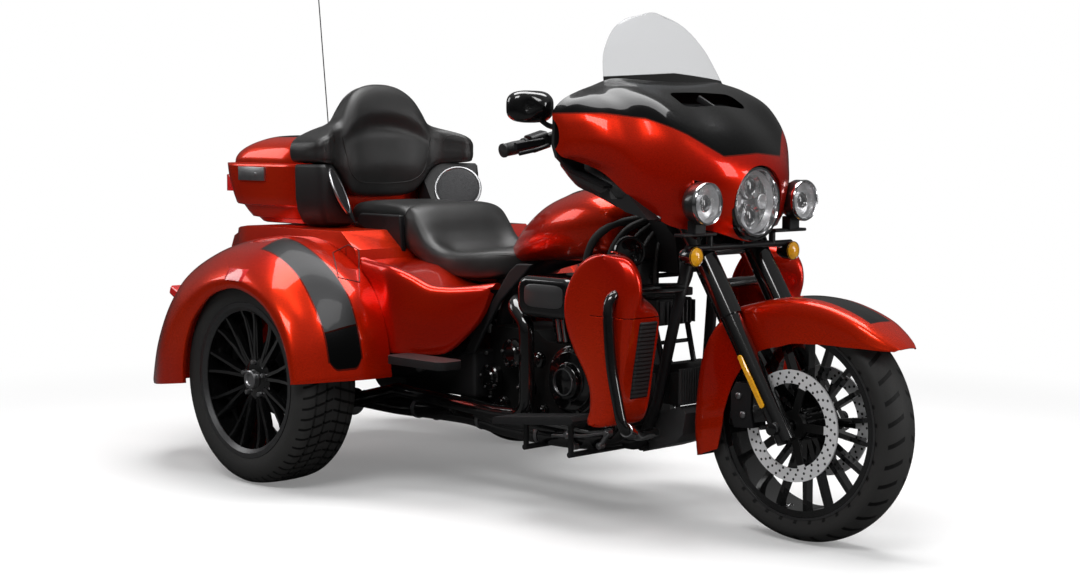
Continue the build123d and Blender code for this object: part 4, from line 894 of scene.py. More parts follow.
sections = [mirrored(x, half, [(0.50, low), (0.88, low + (flank - low) * 0.08),
                               (0.99, low + (flank - low) * 0.45), (1.0, flank + (rim - flank) * 0.3),
                               (0.95, rim - (rim - flank) * 0.20), (0.83, rim),
                               (0.55, inner), (0.20, middle)])
            for x, half, low, flank, rim, inner, middle in seat_rows]
rider_seat = fitted(swelled("rider_seat_cushion", sections, 96, 73), leather, "chassis")
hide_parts("rider_seat")
for side, name in sides:
    welt = [(x, side * half * 0.95, flank + (rim - flank) * 0.72)
            for x, half, low, flank, rim, *rest in seat_rows[2:-1]]
    piping(f"seat_welt_{name}", spline_through(welt, 60), welt_radius, leather)

pillow_rows = [(-0.7675, 0.1, 0.8, 0.83), (-0.762, 0.14, 0.788, 0.85), (-0.735, 0.158, 0.786, 0.866),
               (-0.65, 0.16, 0.786, 0.872), (-0.56, 0.16, 0.786, 0.87), (-0.495, 0.158, 0.786, 0.862),
               (-0.464, 0.148, 0.788, 0.842), (-0.456, 0.11, 0.8, 0.822)]
sections = [mirrored(x, half, [(0.45, low), (0.90, low + 0.006), (1.0, (low + high) / 2),
                               (0.94, high - 0.012), (0.70, high - 0.002), (0.25, high)])
            for x, half, low, high in pillow_rows]
pillow = fitted(swelled("passenger_cushion", sections, 64, 49), leather, "chassis")
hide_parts("passenger_seat")

# ------------------------------------------------------------------ top case
# A moulded, painted case in two halves, stepped in towards its foot, with a
# satin black panel let into the lid and a pressed steel latch on its right.
case_wall = 0.004
panel_height = 1.0755           # the lid is black above this
case_paint, case_shader, place, flake = new_paint("case_paint")
panel = place.axis("Z") > panel_height
lacquered(case_shader, flake, panel.mix(candy_red(place), panel_black), (1.0 - panel) * candy_metal,
          panel * 0.2, Coat_Weight=1.0 - panel * 0.7)


def rod(name, points, radius, sides_round=20):
    """A round bar with smooth bends through its points."""
    return outward(tube_along(name, points, radius, max(2, sides_round // 8), True), 50)


def squared(turn, power):
    """Cosine and sine of an angle, pushed out towards a square by a power below 1."""
    c, s = math.cos(turn), math.sin(turn)
    return math.copysign(abs(c) ** power, c), math.copysign(abs(s) ** power, s)


def angles(count, shift=0.0):
    """count angles evenly round a circle."""
    return [2 * math.pi * (k + shift) / count for k in range(count)]


def level_ring(z, rear, front, half, corner, count=72):
    """A level rounded rectangle; corner is the power that squares it."""
    centre, length = (rear + front) / 2, (front - rear) / 2
    return [(centre + length * c, half * s, z) for c, s in (squared(turn, corner) for turn in angles(count))]


def hollow(name, rings, open_side, angle):
    """A moulding through level rings, its wall inside; open_side is 1 where it opens upwards, else -1."""
    piece = lofted(name, rings, caps=False)
    shut = bmesh.new()
    shut.from_mesh(piece.data)
    middle = (rings[0][0][2] + rings[-1][0][2]) / 2
    bmesh.ops.holes_fill(shut, edges=[edge for edge in shut.edges if edge.is_boundary
                                      and (edge.verts[0].co.z - middle) * open_side < 0])
    shut.to_mesh(piece.data)
    shut.free()
    return walled(outward(piece, angle), case_wall, -1)


tub_levels = [
    # height, rear end, front end, half width, corner
    (0.7868, -1.136, -0.836, 0.25, 0.26), (0.79, -1.144, -0.8355, 0.258, 0.26),
    (0.803, -1.162, -0.8355, 0.264, 0.26), (0.806, -1.186, -0.8355, 0.274, 0.26),
    (0.825, -1.208, -0.8355, 0.28, 0.26), (0.844, -1.226, -0.8355, 0.285, 0.26),
    (0.848, -1.248, -0.8355, 0.298, 0.27), (0.853, -1.253, -0.8355, 0.3005, 0.27),
    (0.88, -1.268, -0.8355, 0.3025, 0.27), (0.91, -1.284, -0.8355, 0.3045, 0.28),
    (0.945, -1.299, -0.8355, 0.3055, 0.29), (0.975, -1.307, -0.8355, 0.306, 0.3),
    (0.9868, -1.3090, -0.8355, 0.3060, 0.30)]
tub = hollow("top_case_moulding", [level_ring(*level, count=144) for level in tub_levels], 1, 30)
fitted(tub, case_paint, "chassis")
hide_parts("top_case_tub")
lid_levels = [
    (0.9882, -1.273, -0.8355, 0.3045, 0.36), (1.006, -1.268, -0.836, 0.303, 0.36),
    (1.026, -1.25, -0.8375, 0.297, 0.37), (1.046, -1.213, -0.842, 0.285, 0.38),
    (1.063, -1.168, -0.85, 0.264, 0.4), (1.076, -1.118, -0.864, 0.233, 0.42),
    (1.0812, -1.07, -0.885, 0.185, 0.45), (1.082, -1.03, -0.92, 0.11, 0.5)]
lid = hollow("top_case_lid_moulding", drawn_out([level_ring(*level) for level in lid_levels], 33), -1, 60)
fitted(lid, case_paint, "case_lid")
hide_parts("top_case_lid")
fitted(rod("case_lid_hinge", [(-1.098, 0.3125, 0.986), (-0.982, 0.3125, 0.986)], 0.0055), satin_black,
       "case_lid")


def box(middle, size, bevel=0.0, segments=2, lean=0.0):
    """A box of a size about its middle, leaning about Y, with its edges rolled where bevel is given."""
    bpy.ops.mesh.primitive_cube_add(size=1, location=middle, rotation=(0, lean, 0), scale=size)
    bpy.ops.object.transform_apply()
    piece = bpy.context.object
    return rounded(piece, bevel, segments, 30) if bevel else piece


latch_middle = Vector((-1.100, -0.3085, 0.952))
latch = box(latch_middle, (0.150, 0.010, 0.046))
bpy.ops.object.mode_set(mode="EDIT")
bpy.ops.mesh.select_all(action="DESELECT")
latch_mesh = bmesh.from_edit_mesh(latch.data)
for face in latch_mesh.faces:
    face.select = face.normal.y < -0.9
bmesh.update_edit_mesh(latch.data)
bpy.ops.mesh.inset(thickness=0.006, depth=-0.002)
bpy.ops.object.mode_set(mode="OBJECT")
rounded(latch, 0.0016, 2, 30)
lock = drum(latch_middle + Vector((0.025, -0.0035, -0.002)), 0.007, 0.005, sideways, 32, 0.001, 2)
fitted(joined("case_latch", [latch, lock]), steel, "chassis", 30)

# ------------------------------------------------------------------ backrest
# One upholstered pad across the case with a raised middle and two arm pads,
# sewn from leather over foam, with a seam round the middle panel.
back_columns = [
    # distance out, lowest, highest, front face
    (0.345, 1.012, 1.046, -0.735),
    (0.338, 1.000, 1.060, -0.704),
    (0.320, 0.993, 1.074, -0.688),
    (0.290, 0.990, 1.088, -0.690),
    (0.262, 0.988, 1.099, -0.716),
    (0.235, 0.984, 1.108, -0.742),
    (0.208, 0.972, 1.117, -0.753),
    (0.185, 0.948, 1.132, -0.756),
    (0.160, 0.915, 1.170, -0.756),
    (0.130, 0.892, 1.207, -0.759),
    (0.090, 0.882, 1.234, -0.766),
    (0.045, 0.880, 1.247, -0.770),
    (0.000, 0.880, 1.250, -0.771),
]
back_rear = -0.8335
lumbar_depth = 0.014
lumbar_half = 0.19
sections = []
for out, low, high, front in [(-out, *rest) for out, *rest in back_columns] + back_columns[-2::-1]:
    tall = high - low
    lumbar = lumbar_depth * max(0.0, 1 - (out / lumbar_half) ** 2)
    sections.append([(x, out, z) for x, z in (
        (back_rear, low + tall * 0.10), (back_rear + 0.012, low + tall * 0.01), (front - 0.020, low),
        (front - 0.004, low + tall * 0.12), (front + lumbar, low + tall * 0.30), (front, low + tall * 0.50),
        (front - lumbar * 1.2, low + tall * 0.62), (front + lumbar * 0.3, low + tall * 0.76),
        (front - 0.005, low + tall * 0.90), (front - 0.026, high), (back_rear + 0.014, high - tall * 0.01),
        (back_rear, high - tall * 0.10))])
backrest = fitted(swelled("backrest_cushion", sections, 72, 121), leather, "chassis")
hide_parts("backrest")


def on_pad(y, z):
    """The point of the backrest's front face at y and z."""
    hit, place, normal, index = backrest.ray_cast(Vector((-0.60, y, z)), Vector((-1, 0, 0)))
    return place


def pad_seam(name, line, count):
    """A seam sewn along a line of (y, z) on the front face."""
    piping(name, spline_through([on_pad(y, z) for y, z in line], count), seam_radius, leather)


bpy.context.view_layer.update()
seam_half = [(0.192, 1.078), (0.176, 1.02), (0.16, 0.968), (0.13, 0.938), (0.09, 0.926), (0.0, 0.922)]
arm_seam = [(0.232, 1.06), (0.248, 1.082), (0.28, 1.078), (0.305, 1.058), (0.312, 1.03), (0.306, 1.004)]
pad_seam("backrest_seam", seam_half + [(-y, z) for y, z in seam_half[-2::-1]], 90)
for side, name in sides:
    pad_seam(f"arm_pad_seam_{name}", [(side * y, z) for y, z in arm_seam], 50)

# ------------------------------------------------------------------ speaker pods
# Moulded black pods beside the seat, each with a bright ring round its grille.
pod_levels = [
    # height, rear end, front end, near side, far side
    (0.787, -0.83, -0.7, 0.2, 0.29), (0.8, -0.8335, -0.675, 0.185, 0.312),
    (0.835, -0.8345, -0.661, 0.18, 0.334), (0.88, -0.8345, -0.66, 0.178, 0.343),
    (0.95, -0.8345, -0.66, 0.178, 0.3455), (0.98, -0.8345, -0.665, 0.18, 0.345),
    (0.9880, -0.8320, -0.6720, 0.186, 0.340)]
pod_face = (-0.690, 0.256, 0.902)
pod_aim = Vector((0.68, -0.62, 0.39)).normalized()
ring_radius = 0.077
pods = []
for side, name in sides:
    rings = []
    for z, rear, front, near, far in pod_levels:
        rings.append([(x, side * ((near + far) / 2 + y * (far - near)), z)
                      for x, y, z in level_ring(z, rear, front, 0.5, 0.42, 64)])
    pod = outward(lofted("pod", rings), 40)
    work = bmesh.new()
    work.from_mesh(pod.data)
    bmesh.ops.bisect_plane(work, geom=work.verts[:] + work.edges[:] + work.faces[:], clear_outer=True,
                           plane_co=handed(side, [pod_face])[0], plane_no=handed(side, [pod_aim])[0])
    bmesh.ops.holes_fill(work, edges=[edge for edge in work.edges if edge.is_boundary])
    work.to_mesh(pod.data)
    work.free()
    pods.append(rounded(pod, 0.006, 3, 30))
pod_pair = fitted(joined("speaker_pod_mouldings", pods), moulded, "chassis", 40)
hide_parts("speaker_pods")
grille, grille_shader, place = new_finish("speaker_grille")
holes = place.cells(300.0)
# The perforations are painted near black as painted shade inside them; the rest of the grille is dark grey.
feed(grille_shader, Base_Color=holes.ramp(0.2, 0.5).mix((0.004, 0.004, 0.004, 1), (0.030, 0.030, 0.032, 1)),
     Roughness=holes * 0.2 + 0.4, Metallic=0.5, Normal=holes.bump(0.5, 0.001))


def smoothed(name, finish, body):
    """Names and dresses the primitive just added, smooth all over."""
    piece = bpy.context.object
    piece.name = name
    bpy.ops.object.transform_apply()
    bpy.ops.object.shade_smooth()
    return fitted(piece, finish, body)


for side, name in sides:
    aim = Vector(handed(side, [pod_aim])[0]).to_track_quat("Z", "Y").to_euler()
    seat = handed(side, [pod_face])[0]
    bpy.ops.mesh.primitive_torus_add(major_radius=ring_radius, minor_radius=0.0046, major_segments=72,
                                     minor_segments=12, location=seat, rotation=aim)
    smoothed(f"speaker_ring_{name}", steel, "chassis")
    bpy.ops.mesh.primitive_uv_sphere_add(segments=48, ring_count=24, radius=ring_radius - 0.001,
                                         location=seat, rotation=aim, scale=(1, 1, 0.10))
    smoothed(f"speaker_face_{name}", grille, "chassis")

# ------------------------------------------------------------------ fairing
# A batwing shell, red below and black above a V line, with a vent under the
# windshield and round openings for the headlamp and the passing lamps.
fairing_ribs = [
    # distance out, then x and z in millimetres of seven points from the windshield's foot to the lower edge
    (0.000, [(505, 1240), (598, 1206), (694, 1156), (788, 1076), (838, 985), (836, 860), (800, 800)]),
    (0.130, [(500, 1240), (592, 1206), (680, 1154), (768, 1074), (815, 985), (803, 880), (770, 832)]),
    (0.230, [(490, 1236), (575, 1212), (665, 1166), (732, 1082), (748, 985), (735, 895), (712, 846)]),
    (0.300, [(478, 1214), (550, 1194), (625, 1150), (668, 1075), (678, 1000), (664, 948), (632, 924)]),
    (0.340, [(470, 1200), (534, 1184), (598, 1144), (634, 1078), (638, 1032), (616, 1000), (566, 990)]),
    (0.380, [(458, 1180), (510, 1168), (562, 1132), (588, 1082), (585, 1052), (558, 1028), (500, 1022)]),
    (0.408, [(450, 1152), (476, 1142), (502, 1119), (514, 1085), (513, 1065), (501, 1045), (480, 1031)]),
    (0.4145, [(452, 1128), (462, 1122), (474, 1106), (479, 1085), (478, 1070), (472, 1056), (464, 1048)]),
]
headlamp_centre = Vector((0.819, 0, 0.906))
headlamp_opening = 0.100
lamp_out = 0.209
lamp_height = 0.906
lamp_opening = 0.061
ribs = [[(x / 1000, side * out, z / 1000) for x, z in points]
        for side, table in ((-1, reversed(fairing_ribs)), (1, fairing_ribs[1:])) for out, points in table]
fairing = walled(skin("fairing_shell", ribs, 57, 121, 0), 0.005, 1.0)


def cut_with(piece, cutter):
    """Takes the cutter's room out of the piece, then removes the cutter."""
    cut = piece.modifiers.new("cut", "BOOLEAN")
    cut.object = cutter
    cut.operation = "DIFFERENCE"
    cut.solver = "EXACT"
    finish_modifiers(piece)
    bpy.data.objects.remove(cutter, do_unlink=True)


facing = (0, quarter, 0)        # turns a part's own axis to face forward
for middle, radius, depth in ((headlamp_centre, headlamp_opening, 0.20),
                              ((0.832, lamp_out, lamp_height), lamp_opening, 0.12),
                              ((0.832, -lamp_out, lamp_height), lamp_opening, 0.12)):
    bpy.ops.mesh.primitive_cylinder_add(vertices=64, radius=radius, depth=depth, location=middle,
                                        rotation=facing)
    cut_with(fairing, bpy.context.object)
vent_middle = Vector((0.645, 0, 1.183))
vent_lean = math.radians(27)
cut_with(fairing, box(vent_middle, (0.082, 0.262, 0.060), 0.024, 5, vent_lean))
fairing_paint, fairing_shader, place, flake = new_paint("fairing_paint")
# The V line: how far above 1 m it lies, in fifths of a metre, over the distance out.
line_stops = ((0.0, 0.2), (0.29, 0.16), (0.48, 0.44), (0.675, 0.66), (0.87, 0.73), (1.0, 0.73))
line = place.node("ValToRGB", {"stops": [(out, (rise,) * 3 + (1,)) for out, rise in line_stops]},
                  Fac=abs(place.axis("Y")) * (1 / 0.415))
rise = (place.axis("Z") - 1.0) * 5.0
dark = rise > line
edge = ((rise + 0.018) > line) - dark
lacquered(fairing_shader, flake, edge.mix(dark.mix(candy_red(place), band_black), pin_red),
          dark * (1.0 - candy_metal) + candy_metal, Coat_Weight=1.0 - dark * 0.15)
fitted(fairing, fairing_paint, "steering", 40)
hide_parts("outer_fairing")

# A satin deflector hangs under each wing and follows its lower edge.
deflector_rows = [
    # x, upper height, lower height, distance out
    (0.400, 1.026, 0.990, 0.330),
    (0.440, 1.022, 0.950, 0.330),
    (0.500, 1.010, 0.925, 0.318),
    (0.560, 0.985, 0.896, 0.300),
    (0.620, 0.945, 0.872, 0.280),
    (0.670, 0.900, 0.860, 0.262),
    (0.700, 0.868, 0.856, 0.252),
]
deflectors = []
for side, name in sides:
    ribs = [handed(side, [(x, out - 0.010, high), (x, out + 0.002, high * 0.6 + low * 0.4),
                          (x, out - 0.004, high * 0.25 + low * 0.75), (x, out - 0.022, low)])
            for x, high, low, out in deflector_rows]
    deflectors.append(skin("deflector", ribs, 25, 49, side * 0.004))
fitted(joined("fairing_deflectors", deflectors), turned_lip, "steering", 50)

vent_post = box(vent_middle + Vector((-0.006, 0, -0.008)), (0.066, 0.01, 0.018), lean=vent_lean)
vent_floor = box(vent_middle + Vector((-0.02, 0, -0.026)), (0.074, 0.29, 0.004), lean=vent_lean)
vent = rounded(joined("fairing_vent", [vent_post, vent_floor]), 0.002)
fitted(vent, moulded, "steering", 35)

# ------------------------------------------------------------------ windshield
# Tinted polycarbonate with a black band along its foot.
screen_rows = [
    # height, x in the middle, x at the edge, half width
    (1.214, 0.541, 0.5, 0.262), (1.243, 0.5275, 0.488, 0.255), (1.31, 0.496, 0.462, 0.232),
    (1.35, 0.4775, 0.45, 0.208), (1.395, 0.4555, 0.436, 0.165), (1.425, 0.441, 0.43, 0.11),
    (1.436, 0.436, 0.430, 0.055)]
ribs = [[(edge + (middle - edge) * (1 - share * share), half * share, z - 0.012 * share * share)
         for share in (-1, -0.8, -0.55, -0.28, 0, 0.28, 0.55, 0.8, 1)]
         for z, middle, edge, half in screen_rows]
screen = skin("windshield_sheet", ribs, 49, 33, 0.003)
screen_finish, screen_shader, place = new_finish("tinted_screen")
band = place.axis("Z") + abs(place.axis("Y")) * 0.06 < 1.262
feed(screen_shader, Base_Color=band.mix((0.30, 0.31, 0.33, 1), (0.006, 0.006, 0.006, 1)),
     Roughness=band * 0.1 + 0.04, Alpha=band * 0.70 + 0.30, Coat_Weight=0.5)
fitted(screen, screen_finish, "steering", 50)
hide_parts("windshield")

# ------------------------------------------------------------------ headlamp and passing lamps
# A bright ring and clear lens over two stacked projectors, with a chromed bowl
# behind; the passing lamps are smaller, each with one projector.
reflector = plain("lamp_reflector", ((0.5, 0.5, 0.51), (0.66, 0.66, 0.68)), (0.28, 0.06), cells=90.0,
                  relief=(0.05, 0.001), Metallic=0.6)
lamp_black = plain("lamp_housing_black", ((0.006, 0.006, 0.006), (0.014, 0.014, 0.014)), (0.25, 0.1),
                   noise=(300.0,), Coat_Weight=0.6)
projector_glass = plain("projector_glass", ((0.004, 0.004, 0.005), (0.02, 0.02, 0.023)), (0.04, 0.06),
                        noise=(40.0,), Coat_Weight=1.0)
lens_glass, lens_glass_shader, place = new_finish("lamp_lens")
haze = place.noise(8.0)
feed(lens_glass_shader, Base_Color=(0.95, 0.96, 0.97, 1), Roughness=haze * 0.02 + 0.01,
     Alpha=haze * 0.02 + 0.05, Coat_Weight=1.0, Coat_Roughness=0.01)
projector_radius = 0.0255
eye_radius = 0.0185


def lamp_part(name, profile, centre, segments, finish):
    """A turned part of a lamp, facing forward."""
    return fitted(turned(name, profile, centre, segments, facing), finish, "steering")


def dome(name, middle, radius, bulge, finish):
    """A shallow dome that faces forward."""
    bpy.ops.mesh.primitive_uv_sphere_add(segments=48, ring_count=24, radius=radius, location=middle,
                                         rotation=facing, scale=(1, 1, bulge))
    return smoothed(name, finish, "steering")


ring = lamp_part("headlamp_ring", [
    (0.0975, -0.02), (0.0975, 0.006), (0.0945, 0.011), (0.089, 0.0115), (0.086, 0.006), (0.0855, -0.012),
    (0.07, -0.04), (0.074, -0.044), (0.09, -0.02)], headlamp_centre, 96, chrome)
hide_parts("headlamp")
lamp_part("headlamp_surround", [
    (0.107, -0.026), (0.107, -0.004), (0.1045, 0.004), (0.1005, 0.006), (0.098, 0.004), (0.0978, -0.016)],
    headlamp_centre, 96, gloss_black)
lamp_part("headlamp_bowl", [
    (0.085, -0.006), (0.078, -0.026), (0.06, -0.048), (0.0001, -0.056), (0.0001, -0.059), (0.062, -0.052),
    (0.0840, -0.026)], headlamp_centre, 96, reflector)
hood_section = [(projector_radius + 0.011, -0.020), (projector_radius + 0.011, 0.006),
                (projector_radius + 0.008, 0.011), (projector_radius, 0.004), (projector_radius, -0.020)]
for name, rise in (("upper", 0.041), ("lower", -0.041)):
    middle = headlamp_centre + Vector((-0.022, 0, rise))
    lamp_part(f"projector_ring_{name}", hood_section, middle, 64, chrome)
    dome(f"projector_{name}", middle, projector_radius, 0.42, projector_glass)
for side, name in sides:
    lamp_part(f"side_reflector_{name}", [
        (0.02, -0.01), (0.021, 0.0), (0.018, 0.001), (0.0001, -0.012), (0.0001, -0.016)],
        headlamp_centre + Vector((-0.020, side * 0.055, 0)), 48, reflector)
lamp_part("headlamp_bridge", [(0.0845, -0.03), (0.0845, -0.026), (0.042, -0.032), (0.042, -0.036)],
          headlamp_centre, 64, lamp_black)
dome("headlamp_lens", headlamp_centre - Vector((0.003, 0, 0)), 0.0868, 0.16, lens_glass)

for side, name in sides:
    middle = Vector((0.828, side * lamp_out, lamp_height))
    lamp_part(f"passing_lamp_shell_{name}", [
        (0.0575, 0.0), (0.0575, -0.03), (0.05, -0.048), (0.035, -0.062), (0.0001, -0.068), (0.0001, -0.062),
        (0.033, -0.056), (0.047, -0.044), (0.053, -0.028), (0.053, -0.004), (0.0545, 0.0)],
        middle, 72, lamp_black)
    lamp_part(f"passing_lamp_ring_{name}", [
        (0.0578, -0.006), (0.058, 0.0), (0.056, 0.004), (0.052, 0.003), (0.0505, -0.004), (0.052, -0.008)],
        middle, 72, chrome)
    lamp_part(f"passing_lamp_bowl_{name}", [
        (0.052, -0.006), (0.046, -0.022), (0.025, -0.034), (0.0001, -0.036), (0.0001, -0.039),
        (0.027, -0.037), (0.0510, -0.022)], middle, 72, reflector)
    eye = middle - Vector((0.016, 0, 0))
    lamp_part(f"passing_eye_ring_{name}", [
        (0.023, -0.014), (0.023, 0.006), (0.0205, 0.008), (eye_radius, 0.004), (eye_radius, -0.014)],
        eye, 48, chrome)
    dome(f"passing_eye_{name}", eye, eye_radius, 0.42, projector_glass)
    dome(f"passing_lens_{name}", middle - Vector((0.003, 0, 0)), 0.0515, 0.16, lens_glass)

# A round bar carries the passing lamps and the bullet turn signals.
bar_x, bar_z = 0.772, 0.785
post_top = 0.822
bar_line = [(bar_x - 0.004, -0.225, bar_z), (bar_x, -0.12, bar_z), (bar_x + 0.002, 0, bar_z),
            (bar_x, 0.12, bar_z), (bar_x - 0.004, 0.225, bar_z)]
bar_parts = [rod("bar", spline_through(bar_line, 24), 0.0085)]
for side, name in sides:
    bar_parts += [
        rod("post", [(bar_x, side * 0.135, bar_z), (bar_x, side * 0.135, post_top)], 0.0095),
        box((0.776, side * 0.196, 0.8215), (0.034, 0.140, 0.009), 0.003),
        box((0.784, side * 0.203, 0.842), (0.030, 0.044, 0.038), 0.003),
        rod("stay", [(bar_x, side * 0.117, bar_z), (0.722, side * 0.117, bar_z)], 0.0100)]
bar_parts.append(rod("riser", [(bar_x, 0, bar_z), (bar_x, 0, post_top)], 0.009))
lamp_bar = fitted(joined("lamp_bar", bar_parts), satin_black, "steering")
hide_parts("passing_lamps")
bulbs = []
for side, name in sides:
    middle = Vector((0.792, side * lamp_out, 0.763))
    bulbs.append(turned("signal_lens", [
        (0.0268, -0.003), (0.0205, 0.004), (0.015, 0.008), (0.008, 0.01), (0.0001, 0.0105), (0.0001, -0.01),
        (0.0224, -0.010)], middle, 48, facing))
    lamp_part(f"signal_shell_{name}", [
        (0.0262, 0.0), (0.0268, -0.01), (0.0255, -0.03), (0.018, -0.048), (0.0001, -0.053), (0.0001, -0.012),
        (0.0226, -0.011), (0.0232, -0.001)], middle, 48, gloss_black)
signals = fitted(joined("signal_lenses", bulbs), amber_lens, "steering")
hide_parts("turn_signals")

# ------------------------------------------------------------------ case lamps
# A red lamp wraps each rear corner of the case and ends inside its wall.
lamp_inset = 0.0010
case_lamps = softened("case_lamps", "case_lamp_lenses", 0.0020, red_lens, "chassis")
case_room = [level_ring(z, rear + lamp_inset, front, half - lamp_inset, corner, count=144)
             for z, rear, front, half, corner in tub_levels[5:]]
cut_with(case_lamps, outward(lofted("case_room", case_room), 30))

# ------------------------------------------------------------------ lower fairings
# Painted leg shields with a rolled edge. The face towards the front holds a
# black air grille, and the guard bar passes out through the shield's side beside it.
lower_half = [
    # height, rear edge x, front edge x
    (0.300, 0.540, 0.600),
    (0.312, 0.538, 0.634),
    (0.345, 0.548, 0.654),
    (0.400, 0.545, 0.666),
    (0.450, 0.522, 0.673),
    (0.500, 0.488, 0.682),
    (0.560, 0.460, 0.692),
    (0.610, 0.451, 0.704),
    (0.660, 0.459, 0.718),
    (0.705, 0.483, 0.714),
    (0.738, 0.512, 0.694),
    (0.757, 0.545, 0.668),
    (0.764, 0.575, 0.632),
]
lowers = []
for side, name in sides:
    ribs = []
    for z, rear, front in lower_half:
        lean = min(1.0, max(0.0, (z - 0.600) / 0.060))
        inner_x = front - 0.004 - lean * 0.100
        ribs.append([(x, side * out, z) for x, out in (
            (inner_x - 0.020, 0.2460), (inner_x, 0.2500), (inner_x + (front - inner_x) * 0.45, 0.290),
            (front - 0.006, 0.345), (front - 0.012 - lean * 0.01, 0.366),
            (front - 0.035 - lean * 0.02, 0.3735), ((rear + front) / 2, 0.3740),
            (rear + 0.020, 0.3715), (rear + 0.004, 0.362), (rear, 0.345))])
    lowers.append(skin("leg_shield", ribs, 65, 65, -side * 0.004))


def shield_seam(x, z):
    """A level line across the front of the shield."""
    return (z > 0.5985) * (z < 0.6010) * (x > 0.56)


shield_paint = seamed_paint("leg_shield_paint", shield_seam, (0.02, 0.001, 0.001, 1))
lower_pair = fitted(joined("leg_shields", lowers), shield_paint, "chassis", 50)
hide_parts("lower_fairings")
grille_paint, grille_shader, place = new_finish("air_grille")
slat = place.axis("Z").math("FRACT", place.axis("Z") * 90.0)
# The gaps between the slats are painted near black as painted shade.
feed(grille_shader, Base_Color=(slat > 0.4).mix((0.002, 0.002, 0.002, 1), (0.020, 0.020, 0.021, 1)),
     Roughness=slat * 0.1 + 0.4, Normal=(slat > 0.4).bump(0.6, 0.002))
grilles = []
for side, name in sides:
    rings = [handed(side, [(x + 0.0035, 0.262, z), (x + 0.0045, 0.300, z), (x + 0.002, 0.328, z),
                           (x - 0.012, 0.328, z), (x - 0.012, 0.262, z)])
             for z, x in ((0.378, 0.6645), (0.43, 0.6735), (0.5, 0.685), (0.56, 0.695), (0.588, 0.7))]
    grilles.append(rounded(outward(lofted("grille", rings), 30), 0.004, 3, 30))
fitted(joined("leg_shield_grilles", grilles), grille_paint, "chassis", 35)

# ------------------------------------------------------------------ engine dress
# Rolled edges on the cast covers, a finned barrel and head, an air cleaner
# cover with a raised middle, a plain cam cover disc and slim push rod tubes.
softened("engine_case", "crankcase_casting", 0.006, cast_black, "chassis")
softened("air_cleaner", "air_cleaner_cover", 0.010, gloss_black, "chassis", 4)
softened("chin_cover", "chin_cover_moulding", 0.008, satin_grey, "chassis")
softened("neck_cover", "neck_cover_moulding", 0.006, moulded, "chassis")
softened("engine_covers", "primary_and_cam_covers", 0.007, gloss_black, "chassis", 4)
softened("calipers", "front_calipers", 0.006, satin_black, "steering")
softened("rider_footboards", "rider_boards", 0.0030, moulded, "chassis")
softened("passenger_footboards", "passenger_boards", 0.0060, moulded, "chassis")
softened("oil_cooler", "oil_cooler_core", 0.004, cast_black, "chassis")
cam_middle = Vector((0.289, -0.2065, 0.375))
for name, profile, finish in (
        ("cam_cover_disc", [(0.0001, 0.004), (0.02, 0.004), (0.024, 0.002), (0.04, 0.0025), (0.0445, 0.0005),
                            (0.046, -0.003), (0.0001, -0.003)], gloss_black),
        ("cam_cover_ring", [(0.04, 0.002), (0.0395, 0.0048), (0.037, 0.005), (0.0362, 0.002)], steel)):
    fitted(turned(name, profile, cam_middle, 64), finish, "chassis")
plate_shape = [squared(turn, 0.45) for turn in angles(36, 0.5)]
plate_layers = ((-0.297, 1.06, 1.12), (-0.3015, 1.05, 1.1), (-0.303, 1.0, 1.0), (-0.303, 0.2, 0.2))
plate = lofted("air_cleaner_plate", [
    [(0.300 + wide * 0.074 * c, y, 0.630 + tall * 0.030 * s) for c, s in plate_shape]
    for y, wide, tall in plate_layers])
fitted(plate, satin_grey, "chassis", 30)
fin_black, fin_shader, place = new_finish("finned_black")
fin = place.axis("Z").math("FRACT", place.axis("Z") * 95.0 + place.axis("X") * 18.0)
# The gaps between the fins are painted near black as painted shade; the fin edges are lighter.
feed(fin_shader, Base_Color=(fin > 0.45).mix((0.003, 0.003, 0.003, 1), (0.022, 0.022, 0.022, 1)),
     Roughness=fin * 0.1 + 0.42, Metallic=0.4, Normal=(fin > 0.45).bump(0.8, 0.003))
dress(fin_black, "cylinders")
tubes = [rod("push_rod_tube", [(low_x, -0.135, 0.480), (high_x, -0.128, 0.575)], 0.0085)
         for low_x, high_x in ((0.3, 0.33), (0.322, 0.352), (0.205, 0.18), (0.228, 0.203))]
fitted(joined("push_rod_tubes", tubes), chrome, "chassis")


def row_round(x, z, radius, count, shift):
    """Places evenly round a circle, seen from the side."""
    return [(x + radius * math.cos(turn), z + radius * math.sin(turn)) for turn in angles(count, shift)]


def bolt(x, y, z, radius, sides_round):
    """A bolt head that faces the side of the machine."""
    bpy.ops.mesh.primitive_cylinder_add(vertices=sides_round, radius=radius, depth=0.006, location=(x, y, z),
                                        rotation=sideways)
    bpy.ops.object.transform_apply()
    return bpy.context.object


